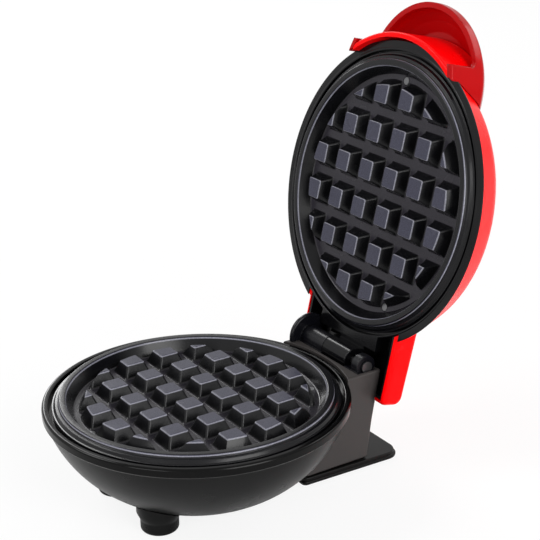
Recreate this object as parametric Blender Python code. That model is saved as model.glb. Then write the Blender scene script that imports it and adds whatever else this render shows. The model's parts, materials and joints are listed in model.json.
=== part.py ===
"""Mini waffle maker: a round base and a hinged lid, each holding a studded cast plate.

Metres, +Z up, the front is -Y and +X is the right-hand side seen from the front. Parts are drawn
about the plates' common axis (X = Y = 0) with the floor at Z = 0, and the lid is drawn closed.
The lid's empty then turns it open, and the whole model is centred on its footprint.
"""

import math

import bmesh
import bpy
from mathutils import Matrix, Vector

# Fits, and how finely round shapes are cut
FIT_GAP = 0.0003
PIN_CLEARANCE = 0.0001
CUT_OVERRUN = 0.002
ROUND_STEPS = 40
HALF_ROUND_STEPS = 24
SMALL_ROUND_STEPS = 16
BORE_STEPS = 12
ARC_STEP_DEGREES = 30.0
PROFILE_STEP_DEGREES = 12.0
SMOOTH_ANGLE_DEGREES = 35.0

# Base ring and bowl
RING_HEIGHT = 0.0435
RING_RADIUS = 0.0635
RING_WALL = 0.0027
RING_INNER_RADIUS = RING_RADIUS - RING_WALL
RING_SKIRT = 0.0040
RING_EDGE_RADIUS = 0.0009
LEDGE_DROP = 0.0026
LEDGE_THICKNESS = 0.0014
LEDGE_WIDTH = 0.0036
LEDGE_INNER_RADIUS = RING_INNER_RADIUS - LEDGE_WIDTH
TONGUE_LENGTH = 0.0030
BOWL_TOP_SETBACK = 0.0011
BOWL_FLAT_SHARE = 0.4325
BOWL_ARC_SWEEP_DEGREES = 56.4
BOWL_CLEARANCE = 0.0040
BOWL_WALL = 0.0020
WIRE_HOLE_RADIUS = 0.0050
WIRE_HOLE_HEIGHT = 0.0240

# The cast plate, the same in base and lid: sizes are measured from its ring's plane
PLATE_SIDE_GAP = 0.0015
PLATE_RADIUS = RING_INNER_RADIUS - PLATE_SIDE_GAP
PLATE_EDGE_DROP = 0.0008
PLATE_RIM_THICKNESS = 0.0015
LIP_RISE = 0.0026
PLATE_RIM_WIDTH = 0.0029
LIP_WIDTH = 0.0025
LIP_OUTER_RADIUS = PLATE_RADIUS - PLATE_RIM_WIDTH
LIP_INNER_RADIUS = LIP_OUTER_RADIUS - LIP_WIDTH
LIP_EDGE_RADIUS = 0.0006
BAND_SETBACK = 0.0006
BAND_INNER_RADIUS = LIP_OUTER_RADIUS + BAND_SETBACK
BAND_RISE = 0.0010
RECESS_WALL_RUN = 0.0033
RECESS_RADIUS = LIP_INNER_RADIUS - RECESS_WALL_RUN
RECESS_DEPTH = 0.0032
FLOOR_THICKNESS = 0.0022
STUD_COUNT_ACROSS = 6
STUD_PITCH = 0.01656
STUD_BASE = 0.0127
STUD_TOP = 0.0078
STUD_TOP_RISE = 0.0023
STUD_ROOT = 0.0008
STUD_FIELD_SETBACK = 0.0030

# Heating element, reflector and plate screws, also the same in base and lid
HEATER_SHARE = 0.672
HEATER_RADIUS = RECESS_RADIUS * HEATER_SHARE
HEATER_TUBE_RADIUS = 0.0032
HEATER_GAP_DEGREES = 36.0
HEATER_LEG = 0.0050
HEATER_POINTS = 26
REFLECTOR_SIDE_GAP = 0.0052
REFLECTOR_RADIUS = LEDGE_INNER_RADIUS - REFLECTOR_SIDE_GAP
REFLECTOR_THICKNESS = 0.0006
REFLECTOR_LIP = 0.0030
SCREW_HEAD_RADIUS = 0.0016
SCREW_HEAD_HEIGHT = 0.0012
SCREW_SHANK_RADIUS = 0.0010
PLATE_SCREW_LENGTH = 0.0128
POST_RADIUS = 0.0036

# Thermostat, fuse and wiring in the base
THERMOSTAT_RADIUS = 0.0075
THERMOSTAT_HEIGHT = 0.0090
THERMOSTAT_FLANGE_RADIUS = 0.0095
THERMOSTAT_FLANGE_HEIGHT = 0.0012
FUSE_RADIUS = 0.0021
FUSE_LENGTH = 0.0120
FUSE_PLACE_Y = 0.0180
TERMINAL_BLOCK_SIZE = (0.0220, 0.0100, 0.0090)
TERMINAL_BLOCK_PLACE_Y = 0.0180
TERMINAL_EDGE = 0.0008
LEAD_RADIUS = 0.0009

# Front feet
FOOT_RADIUS = 0.0078
FOOT_COLLAR_RADIUS = 0.0092
FOOT_EDGE_RADIUS = 0.0016
FOOT_STRAIGHT = 0.0052
FOOT_COLLAR_HEIGHT = 0.0080
FOOT_HALF_SPREAD = 0.0186
FOOT_SETBACK = 0.0337
FOOT_PLACE = (FOOT_HALF_SPREAD, FOOT_SETBACK - RING_RADIUS)

# Rear stand and its foot plate
STAND_HALF_WIDTH = 0.0243
STAND_TOP_RISE = 0.0005
STAND_REAR_REACH = 0.0131
STAND_MIDDLE_SETBACK = 0.0044
STAND_BOTTOM_SETBACK = 0.0068
STAND_REAR_TOP = RING_RADIUS + STAND_REAR_REACH
STAND_REAR_MIDDLE = STAND_REAR_TOP - STAND_MIDDLE_SETBACK
STAND_REAR_BOTTOM = STAND_REAR_TOP - STAND_BOTTOM_SETBACK
STAND_MIDDLE_HEIGHT = 0.0210
STAND_WALL = 0.0020
STAND_EDGE = 0.0010
STAND_ROOF_DROP = 0.0125
STAND_BOSS_RADIUS = 0.0034
STAND_BOSS_SHARE = 0.46
STAND_BOSS_HEIGHT = RING_HEIGHT * STAND_BOSS_SHARE
FOOT_PLATE_LIFT = 0.0005
FOOT_PLATE_THICKNESS = 0.0030
FOOT_PLATE_BEAD = 0.0006
FOOT_PLATE_BEAD_HEIGHT = 0.0014
FOOT_PLATE_REAR_REACH = 0.0099
FOOT_PLATE_LENGTH = 0.0505
FOOT_PLATE_SIDE = 0.0009
FOOT_PLATE_FLARE = 0.0016
FOOT_PLATE_REAR = STAND_REAR_TOP + FOOT_PLATE_REAR_REACH
FOOT_PLATE_FRONT = FOOT_PLATE_REAR - FOOT_PLATE_LENGTH
FOOT_PLATE_FRONT_HALF = STAND_HALF_WIDTH + FOOT_PLATE_SIDE
FOOT_PLATE_REAR_HALF = FOOT_PLATE_FRONT_HALF + FOOT_PLATE_FLARE
FOOT_PLATE_FRONT_CORNER = 0.0020
FOOT_PLATE_REAR_CORNER = 0.0060
FOOT_SCREW_INSET = 0.0093
FOOT_SCREW_SETBACKS = (0.0266, 0.0114)
FOOT_SCREW_LENGTH = 0.0090
FOOT_PAD_RADIUS = 0.0045
FOOT_PAD_THICKNESS = 0.0015
FOOT_PAD_INSET = 0.0103
FOOT_PAD_SETBACK = 0.0080
FOOT_PAD_PLACE = (FOOT_PLATE_REAR_HALF - FOOT_PAD_INSET, FOOT_PLATE_REAR - FOOT_PAD_SETBACK)
CORD_BUSH_HEIGHT = 0.0140
CORD_BUSH_RADIUS = 0.0049
CORD_BUSH_BORE = 0.0030
CORD_BUSH_FLANGE_RADIUS = 0.0064
CORD_BUSH_FLANGE = 0.0016
CORD_BUSH_DEPTH = 0.0050
CORD_BUSH_LEAN = 0.0012

# Hinge: the axis lies along X
HINGE_SETBACK = 0.0060
HINGE_RISE = 0.0020
HINGE_Y = STAND_REAR_TOP - HINGE_SETBACK
HINGE_HEIGHT = RING_HEIGHT + HINGE_RISE
LID_OPEN_DEGREES = 103.7
KNUCKLE_RADIUS = 0.0049
HINGE_POCKET_SIDE = 0.0013
HINGE_POCKET_REACH = 0.0056
HINGE_POCKET_HALF = STAND_HALF_WIDTH - HINGE_POCKET_SIDE
HINGE_POCKET_FRONT = HINGE_Y - HINGE_POCKET_REACH
HINGE_POCKET_DEPTH = 0.0100
PIVOT_CAP_RADIUS = 0.0099
PIVOT_CAP_END = -0.0204
KNUCKLE_A_END = -0.0046
LID_KNUCKLE_START = -0.0043
LID_KNUCKLE_END = 0.0123
KNUCKLE_C_START = 0.0170
KNUCKLE_C_END = 0.0212
KNUCKLE_SLOT_DEPTH = 0.0078
HINGE_PIN_RADIUS = 0.0015
HINGE_PIN_HEAD_RADIUS = 0.0026
HINGE_PIN_HEAD = 0.0010
BRACKET_SCREW_PLACES = (-0.0140, 0.0188)
BRACKET_SCREW_REACH = 0.0028
BRACKET_SCREW_PLACE_Y = HINGE_Y - BRACKET_SCREW_REACH
BRACKET_SCREW_LENGTH = 0.0080

# Lid shell
LID_GAP = 0.0060
LID_OVERHANG = 0.0008
LID_RADIUS = RING_RADIUS + LID_OVERHANG
LID_RIM_LIFT = 0.0006
LID_WALL = 0.0020
FLANK_HEIGHT = 0.0105
FLANK_LEAN_DEGREES = 25.0
SHOULDER_RADIUS = 0.0150
CROWN_START_DEGREES = 80.0
CROWN_STEPS = 3
TAIL_SIDE = 0.0080
TAIL_REACH = 0.0081
TAIL_LENGTH = 0.0547
TAIL_HALF_WIDTH = STAND_HALF_WIDTH + TAIL_SIDE
TAIL_END = STAND_REAR_TOP + TAIL_REACH
TAIL_FRONT = TAIL_END - TAIL_LENGTH
TAIL_HEIGHT = 0.0120
TAIL_END_HEIGHT = 0.0108
TAIL_EDGE = 0.0024
TAIL_END_RADIUS = 0.0040
TAIL_NOTCH_SIDE = 0.0019
TAIL_NOTCH_HALF = STAND_HALF_WIDTH + TAIL_NOTCH_SIDE
TAIL_NOTCH_RISE = 0.0036
CHIN_SETBACK = 0.0083
CHIN_OVERHANG = 0.0034
CHIN_RADIUS = LID_RADIUS - CHIN_SETBACK
CHIN_CENTRE_Y = CHIN_RADIUS - LID_RADIUS - CHIN_OVERHANG
CHIN_DROP = 0.0035
CHIN_WALL = 0.0022
CHIN_ROOF = 0.0026
CHIN_EDGE = 0.0012
CHIN_DEPTH = 0.0283
CHIN_BACK = CHIN_CENTRE_Y - CHIN_DEPTH

# Lid liner: the black ring, the tray in the tail and the lid's knuckle
LINER_SETBACK = 0.0024
LINER_WALL = 0.0016
LINER_RADIUS = LID_RADIUS - LINER_SETBACK
LINER_INNER_RADIUS = LINER_RADIUS - LINER_WALL
LINER_SKIRT = 0.0034
TRAY_WALL = 0.0012
TRAY_FLOOR = 0.0015
TRAY_RIM_SETBACK = 0.0005
STEP_HALF_WIDTH = 0.0200
STEP_SETBACK = 0.0061
STEP_REAR = HINGE_Y - STEP_SETBACK
KNUCKLE_WEB_REAR = 0.0040

# Handle
HANDLE_RADIUS = 0.0355
HANDLE_OVERHANG = 0.0176
HANDLE_CENTRE_Y = HANDLE_RADIUS - LID_RADIUS - HANDLE_OVERHANG
HANDLE_WALL = 0.0024
HANDLE_RIM_HEIGHT = 0.0100
HANDLE_CHEEK_SETBACK = 0.0038
HANDLE_SIDE_HEIGHT = 0.0140
HANDLE_SHOULDER_SETBACK = 0.0045
HANDLE_SHOULDER_RADIUS = HANDLE_RADIUS - HANDLE_SHOULDER_SETBACK
HANDLE_SHOULDER_HEIGHT = 0.0188
HANDLE_TOP_HEIGHT = 0.0206
HANDLE_CROWN_SHARE = 0.85
HANDLE_END_SETBACK = 0.0188
HANDLE_END_RADIUS = LID_RADIUS - HANDLE_END_SETBACK

# Indicator light
LENS_PLACE_Y = -0.0150
LENS_RADIUS = 0.0038
LENS_RISE = 0.0008
LENS_DEPTH = 0.0040
LAMP_RADIUS = 0.0025

LID_RING_HEIGHT = RING_HEIGHT + LID_GAP
CHIN_HEIGHT = HANDLE_TOP_HEIGHT - HANDLE_WALL - 2 * FIT_GAP
CHIN_RECESS = CHIN_HEIGHT - CHIN_ROOF
SMALL_ARC = math.radians(ARC_STEP_DEGREES)
PROFILE_ARC = math.radians(PROFILE_STEP_DEGREES)


def clear_scene():
    """Remove whatever the file opened with."""
    for obj in list(bpy.data.objects):
        bpy.data.objects.remove(obj, do_unlink=True)


def make_finish(name, colour, roughness, metallic=0.0):
    """A plain Principled material with the part's colour."""
    finish = bpy.data.materials.new(name)
    finish.use_nodes = True
    shader = finish.node_tree.nodes["Principled BSDF"]
    shader.inputs["Base Color"].default_value = (*colour, 1.0)
    shader.inputs["Roughness"].default_value = roughness
    shader.inputs["Metallic"].default_value = metallic
    finish.diffuse_color = (*colour, 1.0)
    return finish


def make_empty(name, location=(0.0, 0.0, 0.0), parent=None):
    """An empty that carries other parts."""
    empty = bpy.data.objects.new(name, None)
    empty.location = location
    empty.parent = parent
    bpy.context.scene.collection.objects.link(empty)
    return empty


def filleted(corners):
    """Turn (x, y, radius) corners of a closed outline into points, each radius an arc."""
    points = []
    for index, (x, y, radius) in enumerate(corners):
        here = Vector((x, y))
        if radius == 0:
            points.append(here)
            continue
        before = Vector(corners[index - 1][:2]) - here
        after = Vector(corners[(index + 1) % len(corners)][:2]) - here
        before.normalize()
        after.normalize()
        half = before.angle(after) / 2
        middle = here + (before + after).normalized() * (radius / math.sin(half))
        start = here + before * (radius / math.tan(half)) - middle
        sweep = math.pi - 2 * half
        turn = math.copysign(1.0, before.cross(after))
        steps = max(2, round(sweep / SMALL_ARC))
        for step in range(steps + 1):
            rotation = Matrix.Rotation(turn * -sweep * step / steps, 2)
            points.append(middle + rotation @ start)
    return [(point.x, point.y) for point in points]


def turned(profile, steps=ROUND_STEPS):
    """Spin a closed (radius, height) outline about Z; points on the axis become poles."""
    shape = bmesh.new()
    rings = []
    for radius, height in profile:
        count = 1 if radius == 0 else steps
        angles = (2 * math.pi * step / steps for step in range(count))
        rings.append([shape.verts.new((radius * math.cos(a), radius * math.sin(a), height)) for a in angles])
    for ring, following in zip(rings, rings[1:] + rings[:1]):
        if len(ring) == len(following) == 1:
            continue
        for step in range(steps):
            corners = []
            for vert in (
                ring[step % len(ring)],
                ring[(step + 1) % len(ring)],
                following[(step + 1) % len(following)],
                following[step % len(following)],
            ):
                if vert not in corners:
                    corners.append(vert)
            shape.faces.new(corners)
    bmesh.ops.recalc_face_normals(shape, faces=shape.faces)
    return shape


def layered(layers):
    """Join outlines of equal length, given as (points, height), into one closed stack."""
    shape = bmesh.new()
    rings = [[shape.verts.new((x, y, height)) for x, y in outline] for outline, height in layers]
    shape.faces.new(rings[0])
    shape.faces.new(rings[-1])
    for ring, following in zip(rings, rings[1:]):
        for index in range(len(ring)):
            after = (index + 1) % len(ring)
            shape.faces.new((ring[index], ring[after], following[after], following[index]))
    bmesh.ops.recalc_face_normals(shape, faces=shape.faces)
    return shape


def extruded(outline, low, high):
    """A straight prism of an XY outline."""
    return layered([(outline, low), (outline, high)])


def along_x(shape):
    """Lay a shape drawn in (Y, Z, X) order so that its heights run along X."""
    shape.transform(Matrix(((0, 0, 1, 0), (1, 0, 0, 0), (0, 1, 0, 0), (0, 0, 0, 1))))
    return shape


def along_y(shape):
    """Lay a shape drawn in (Z, X, Y) order so that its heights run along Y."""
    shape.transform(Matrix(((0, 1, 0, 0), (0, 0, 1, 0), (1, 0, 0, 0), (0, 0, 0, 1))))
    return shape


def moved(shape, x=0.0, y=0.0, z=0.0):
    """Shift a shape."""
    shape.transform(Matrix.Translation((x, y, z)))
    return shape


def cylinder(radius, low, high, steps=SMALL_ROUND_STEPS):
    """A round bar on Z."""
    return turned([(0, low), (radius, low), (radius, high), (0, high)], steps)


def half_turned(shape, steps):
    """Turn a round shape on Z by half a facet, so that no corner falls on a middle line."""
    shape.transform(Matrix.Rotation(math.pi / steps, 4, "Z"))
    return shape


def drill(radius, low, high, steps=BORE_STEPS):
    """A round cutter on Z with its flats square to X and Y."""
    return half_turned(cylinder(radius, low, high, steps), steps)


def box(low, high):
    """A plain block between two corners."""
    outline = [(low[0], low[1]), (high[0], low[1]), (high[0], high[1]), (low[0], high[1])]
    return extruded(outline, low[2], high[2])


def add_part(name, shape, finish, parent):
    """Make a bmesh into a named, smooth-shaded object in its parent's frame."""
    mesh = bpy.data.meshes.new(name)
    shape.to_mesh(mesh)
    shape.free()
    mesh.shade_smooth()
    mesh.set_sharp_from_angle(angle=math.radians(SMOOTH_ANGLE_DEGREES))
    part = bpy.data.objects.new(name, mesh)
    part.parent = parent
    part.location = -parent.location if parent.name == "lid_hinge" else (0, 0, 0)
    if finish:
        mesh.materials.append(finish)
    bpy.context.scene.collection.objects.link(part)
    return part


def add_tool(name, shape, parent):
    """A cutter or filler for Booleans, hidden from renders."""
    tool = add_part(name + "_tool", shape, None, parent)
    tool.hide_render = True
    tool.display_type = "WIRE"
    return tool


def combine(part, operation, *tools):
    """Add one Boolean per tool: DIFFERENCE, UNION or INTERSECT."""
    for tool in tools:
        modifier = part.modifiers.new(tool.name, "BOOLEAN")
        modifier.operation = operation
        modifier.solver = "EXACT"
        modifier.object = tool


def soften(part, width, segments=2):
    """Round a part's crisp edges."""
    modifier = part.modifiers.new("soft_edges", "BEVEL")
    modifier.width = width
    modifier.segments = segments
    modifier.limit_method = "ANGLE"


def add_tube(name, points, radius, finish, parent, resolution=1):
    """A round bar along hand-laid points, with closed ends."""
    curve = bpy.data.curves.new(name, "CURVE")
    curve.dimensions = "3D"
    curve.bevel_depth = radius
    curve.bevel_resolution = resolution
    curve.use_fill_caps = True
    spline = curve.splines.new("POLY")
    spline.points.add(len(points) - 1)
    for point, place in zip(spline.points, points):
        point.co = (*place, 1.0)
    tube = bpy.data.objects.new(name, curve)
    tube.parent = parent
    tube.location = -parent.location if parent.name == "lid_hinge" else (0, 0, 0)
    curve.materials.append(finish)
    bpy.context.scene.collection.objects.link(tube)
    return tube


def bowl_arc():
    """The arc of the bowl's side, from its flat bottom to its rim: centre, radius and rim height."""
    rim = Vector((RING_RADIUS - BOWL_TOP_SETBACK, RING_HEIGHT - RING_SKIRT - FIT_GAP))
    flat_edge = Vector((rim.x * BOWL_FLAT_SHARE, BOWL_CLEARANCE))
    chord = rim - flat_edge
    half = math.radians(BOWL_ARC_SWEEP_DEGREES) / 2
    inward = Vector((-chord.y, chord.x)).normalized()
    centre = (rim + flat_edge) / 2 + inward * (chord.length / 2 / math.tan(half))
    return centre, chord.length / 2 / math.sin(half), rim.y


def bowl_profile(offset, top):
    """The bowl's solid outline moved outward by offset, closed at height top."""
    centre, arc_radius, rim_height = bowl_arc()
    radius = arc_radius + offset
    bottom = BOWL_CLEARANCE - offset
    start = math.acos((centre.y - bottom) / radius)
    end = math.acos((centre.y - rim_height) / radius)
    steps = math.ceil((end - start) / PROFILE_ARC)
    points = [(0, bottom)]
    for step in range(steps + 1):
        angle = start + (end - start) * step / steps
        points.append((centre.x + radius * math.sin(angle), centre.y - radius * math.cos(angle)))
    if top > rim_height:
        points.append((points[-1][0] + (points[-1][0] - points[-2][0]) / 8, top))
    points.append((0, top))
    return points


def bowl_height(radius, offset=0.0):
    """Height of the bowl's outer skin at a radius."""
    centre, arc_radius, _ = bowl_arc()
    run = max(radius - centre.x, 0)
    return max(centre.y - math.sqrt((arc_radius + offset) ** 2 - run**2), BOWL_CLEARANCE - offset)


def foot_screw_places():
    """Plan positions of the four screws that hold the foot plate to the stand."""
    reach = STAND_HALF_WIDTH - FOOT_SCREW_INSET
    return [(side * reach, STAND_REAR_TOP - setback) for setback in FOOT_SCREW_SETBACKS for side in (-1, 1)]


def plate_heights(ring_height, up):
    """Return a function from a rise above the ring's plane, towards the food, to a real height."""
    return lambda rise: ring_height + up * rise


def ring_shape(ring_height, up, outer, outer_low, inner, skirt, tongue_outer, tongue_bottom):
    """The plastic ring that holds a plate: its bead, the ledge and a tongue behind it."""
    at = plate_heights(ring_height, up)
    ledge_bottom = -(LEDGE_DROP + LEDGE_THICKNESS)
    corners = [
        (outer_low, at(-skirt), 0),
        (outer, at(0), RING_EDGE_RADIUS if outer == RING_RADIUS else RING_EDGE_RADIUS / 2),
        (inner, at(0), RING_EDGE_RADIUS / 2),
        (inner, at(-LEDGE_DROP), 0),
        (LEDGE_INNER_RADIUS, at(-LEDGE_DROP), 0),
        (LEDGE_INNER_RADIUS, at(-tongue_bottom), 0),
        (tongue_outer[1], at(-tongue_bottom), 0),
        (tongue_outer[0], at(min(-skirt, ledge_bottom)), 0),
    ]
    return turned(filleted(corners))


def plate_shape(ring_height, up):
    """The cast plate without studs."""
    at = plate_heights(ring_height, up)
    rim_bottom = -(PLATE_EDGE_DROP + PLATE_RIM_THICKNESS)
    wall_slope = (LIP_INNER_RADIUS - RECESS_RADIUS) / (LIP_RISE + RECESS_DEPTH)
    underside = -(RECESS_DEPTH + FLOOR_THICKNESS)
    corners = [
        (0, at(-RECESS_DEPTH), 0),
        (RECESS_RADIUS, at(-RECESS_DEPTH), 0),
        (LIP_INNER_RADIUS, at(LIP_RISE), LIP_EDGE_RADIUS),
        (LIP_OUTER_RADIUS, at(LIP_RISE), LIP_EDGE_RADIUS),
        (LIP_OUTER_RADIUS + STUD_ROOT / 4, at(BAND_RISE / 2), 0),
        (BAND_INNER_RADIUS, at(BAND_RISE), 0),
        (PLATE_RADIUS, at(-PLATE_EDGE_DROP / 2), 0),
        (PLATE_RADIUS, at(rim_bottom), 0),
        (LIP_INNER_RADIUS + STUD_ROOT, at(rim_bottom), 0),
        (LIP_INNER_RADIUS + STUD_ROOT + wall_slope * (underside - rim_bottom), at(underside), 0),
        (0, at(underside), 0),
    ]
    return turned(filleted(corners))


def plate_screw_places():
    """Plan position of the two plate screws: each between studs, at the foot of the round wall."""
    reach = RECESS_RADIUS - SCREW_HEAD_RADIUS - 2 * FIT_GAP
    return {"front": (0.0, -reach), "rear": (STUD_PITCH, math.sqrt(reach**2 - STUD_PITCH**2))}


def stud_shape(x, y, ring_height, up):
    """One tapered square stud, rooted in the plate's floor."""
    at = plate_heights(ring_height, up)
    rise = RECESS_DEPTH + STUD_TOP_RISE
    slope = (STUD_BASE - STUD_TOP) / rise
    layers = []
    root = (-RECESS_DEPTH - STUD_ROOT, STUD_BASE + slope * STUD_ROOT)
    for height, side in ((STUD_TOP_RISE, STUD_TOP), root):
        half = side / 2
        outline = [(x - half, y - half), (x + half, y - half), (x + half, y + half), (x - half, y + half)]
        layers.append((outline, at(height)))
    return layered(layers)


def stud_places():
    """Centres of the studs: a square lattice without its corners."""
    middle = (STUD_COUNT_ACROSS - 1) / 2
    for row in range(STUD_COUNT_ACROSS):
        for column in range(STUD_COUNT_ACROSS):
            if abs(row - middle) == abs(column - middle) == middle:
                continue
            yield (column - middle) * STUD_PITCH, (row - middle) * STUD_PITCH


def make_plate(name, ring_height, up, finish, parent):
    """A whole cast plate: turned body, studs trimmed to a round field, and screw holes."""
    at = plate_heights(ring_height, up)
    plate = add_part(name, plate_shape(ring_height, up), finish, parent)
    studs = bmesh.new()
    for x, y in stud_places():
        single = stud_shape(x, y, ring_height, up)
        mesh = bpy.data.meshes.new(name + "_stud")
        single.to_mesh(mesh)
        single.free()
        studs.from_mesh(mesh)
        bpy.data.meshes.remove(mesh)
    studs = add_tool(name + "_studs", studs, parent)
    slope = (STUD_BASE - STUD_TOP) / (RECESS_DEPTH + STUD_TOP_RISE) / 2
    field = RECESS_RADIUS - STUD_FIELD_SETBACK
    low, high = -RECESS_DEPTH - STUD_ROOT / 2, STUD_TOP_RISE + STUD_ROOT
    trim = [(0, at(low))]
    trim.append((field + slope * STUD_ROOT / 2, at(low)))
    trim.append((field - slope * (high + RECESS_DEPTH), at(high)))
    trim.append((0, at(high)))
    combine(studs, "INTERSECT", add_tool(name + "_trim", turned(trim), parent))
    combine(plate, "UNION", studs)
    for place, (x, y) in plate_screw_places().items():
        hole_end = at(-RECESS_DEPTH - FLOOR_THICKNESS - CUT_OVERRUN)
        shank = drill(SCREW_SHANK_RADIUS + FIT_GAP, at(CUT_OVERRUN), hole_end)
        recess_end = at(-RECESS_DEPTH - SCREW_HEAD_HEIGHT - FIT_GAP)
        recess = drill(SCREW_HEAD_RADIUS + FIT_GAP, at(CUT_OVERRUN), recess_end, SMALL_ROUND_STEPS)
        combine(plate, "DIFFERENCE", add_tool(f"{name}_{place}_hole", moved(shank, x, y), parent))
        combine(plate, "DIFFERENCE", add_tool(f"{name}_{place}_recess", moved(recess, x, y), parent))
    return plate


def make_heater(name, ring_height, up, finish, parent):
    """The tubular heating element: an open ring with its two ends turned away from the plate."""
    at = plate_heights(ring_height, up)
    depth = RECESS_DEPTH + FLOOR_THICKNESS + FIT_GAP + HEATER_TUBE_RADIUS
    gap = math.radians(HEATER_GAP_DEGREES)
    start = math.pi / 2 + gap / 2
    sweep = 2 * math.pi - gap
    points = []
    for step in range(HEATER_POINTS + 1):
        angle = start + sweep * step / HEATER_POINTS
        points.append((HEATER_RADIUS * math.cos(angle), HEATER_RADIUS * math.sin(angle), at(-depth)))
    first, last = points[0], points[-1]
    leg = depth + HEATER_TUBE_RADIUS + HEATER_LEG
    points.insert(0, (first[0], first[1], at(-leg)))
    points.append((last[0], last[1], at(-leg)))
    return add_tube(name, points, HEATER_TUBE_RADIUS, finish, parent)


def heater_leg_places():
    """Plan position of the heating element's two ends."""
    half_gap = math.radians(HEATER_GAP_DEGREES) / 2
    x, y = HEATER_RADIUS * math.sin(half_gap), HEATER_RADIUS * math.cos(half_gap)
    return [(-x, y), (x, y)]


def make_reflector(name, ring_height, up, finish, parent, centre_hole):
    """The thin heat shield behind the heating element."""
    at = plate_heights(ring_height, up)
    near = RECESS_DEPTH + FLOOR_THICKNESS + 2 * HEATER_TUBE_RADIUS + 2 * FIT_GAP
    far = near + REFLECTOR_THICKNESS
    inner = centre_hole
    corners = [
        (inner, at(-near)),
        (REFLECTOR_RADIUS - REFLECTOR_THICKNESS, at(-near)),
        (REFLECTOR_RADIUS - REFLECTOR_THICKNESS, at(-near + REFLECTOR_LIP)),
        (REFLECTOR_RADIUS, at(-near + REFLECTOR_LIP)),
        (REFLECTOR_RADIUS, at(-far)),
        (inner, at(-far)),
    ]
    reflector = add_part(name, turned(corners), finish, parent)
    places = [(x, y, SCREW_SHANK_RADIUS) for x, y in plate_screw_places().values()]
    places += [(x, y, HEATER_TUBE_RADIUS) for x, y in heater_leg_places()]
    for number, (x, y, radius) in enumerate(places):
        hole = moved(drill(radius + 2 * FIT_GAP, at(-far - CUT_OVERRUN), at(-near + REFLECTOR_LIP / 2)), x, y)
        combine(reflector, "DIFFERENCE", add_tool(f"{name}_hole_{number}", hole, parent))
    return reflector


def make_plate_screw(name, x, y, ring_height, up, finish, parent):
    """A flat-headed screw down through the plate into the shell's post."""
    at = plate_heights(ring_height, up)
    top = -RECESS_DEPTH
    under_head = top - SCREW_HEAD_HEIGHT
    profile = [
        (0, at(top)),
        (SCREW_HEAD_RADIUS, at(top)),
        (SCREW_HEAD_RADIUS, at(under_head)),
        (SCREW_SHANK_RADIUS, at(under_head)),
        (SCREW_SHANK_RADIUS, at(top - PLATE_SCREW_LENGTH)),
        (0, at(top - PLATE_SCREW_LENGTH)),
    ]
    return add_part(name, moved(turned(profile, SMALL_ROUND_STEPS), x, y), finish, parent)


def post_tools(name, ring_height, up, far, parent):
    """Posts with blind bores that take the plate screws."""
    at = plate_heights(ring_height, up)
    near = RECESS_DEPTH + FLOOR_THICKNESS + 2 * HEATER_TUBE_RADIUS + REFLECTOR_THICKNESS + 3 * FIT_GAP
    bore_end = RECESS_DEPTH + PLATE_SCREW_LENGTH + FIT_GAP
    bore = SCREW_SHANK_RADIUS + FIT_GAP
    profile = [
        (0, at(-far)),
        (POST_RADIUS, at(-far)),
        (POST_RADIUS, at(-near)),
        (bore, at(-near)),
        (bore, at(-bore_end)),
        (0, at(-bore_end)),
    ]
    posts = []
    for place, (x, y) in plate_screw_places().items():
        post = moved(turned(profile, SMALL_ROUND_STEPS), x, y)
        posts.append(add_tool(f"{name}_{place}_post", post, parent))
    return posts


def wire_hole_shape():
    """The passage for the wiring from the stand into the bowl."""
    passage = cylinder(WIRE_HOLE_RADIUS, RECESS_RADIUS - STAND_WALL * 4, RING_RADIUS + STAND_WALL)
    return moved(along_y(passage), z=WIRE_HOLE_HEIGHT)


def make_base_shell(finish, root):
    """The bowl: a turned shell with two screw posts and the wiring hole."""
    rim_height = RING_HEIGHT - RING_SKIRT - FIT_GAP
    shell = add_part("base_shell", turned(bowl_profile(0, rim_height)), finish, root)
    cavity = add_tool("base_cavity", turned(bowl_profile(-BOWL_WALL, rim_height + CUT_OVERRUN)), root)
    combine(cavity, "DIFFERENCE", *post_tools("base", RING_HEIGHT, 1, RING_HEIGHT, root))
    combine(shell, "DIFFERENCE", cavity)
    combine(shell, "DIFFERENCE", add_tool("base_wire_hole", wire_hole_shape(), root))
    return shell


def make_base_ring(finish, root):
    """The black ring that seats the lower plate on the bowl."""
    rim_radius = RING_RADIUS - BOWL_TOP_SETBACK
    lean = (bowl_profile(0, RING_HEIGHT)[-2][0] - bowl_profile(0, RING_HEIGHT)[-3][0])
    tongue_top = rim_radius - BOWL_WALL - FIT_GAP - abs(lean)
    tongue_outer = (tongue_top, tongue_top - TONGUE_LENGTH / 2)
    ring = ring_shape(
        RING_HEIGHT,
        1,
        RING_RADIUS,
        RING_RADIUS,
        RING_INNER_RADIUS,
        RING_SKIRT,
        tongue_outer,
        RING_SKIRT + TONGUE_LENGTH,
    )
    return add_part("base_ring", ring, finish, root)


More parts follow.
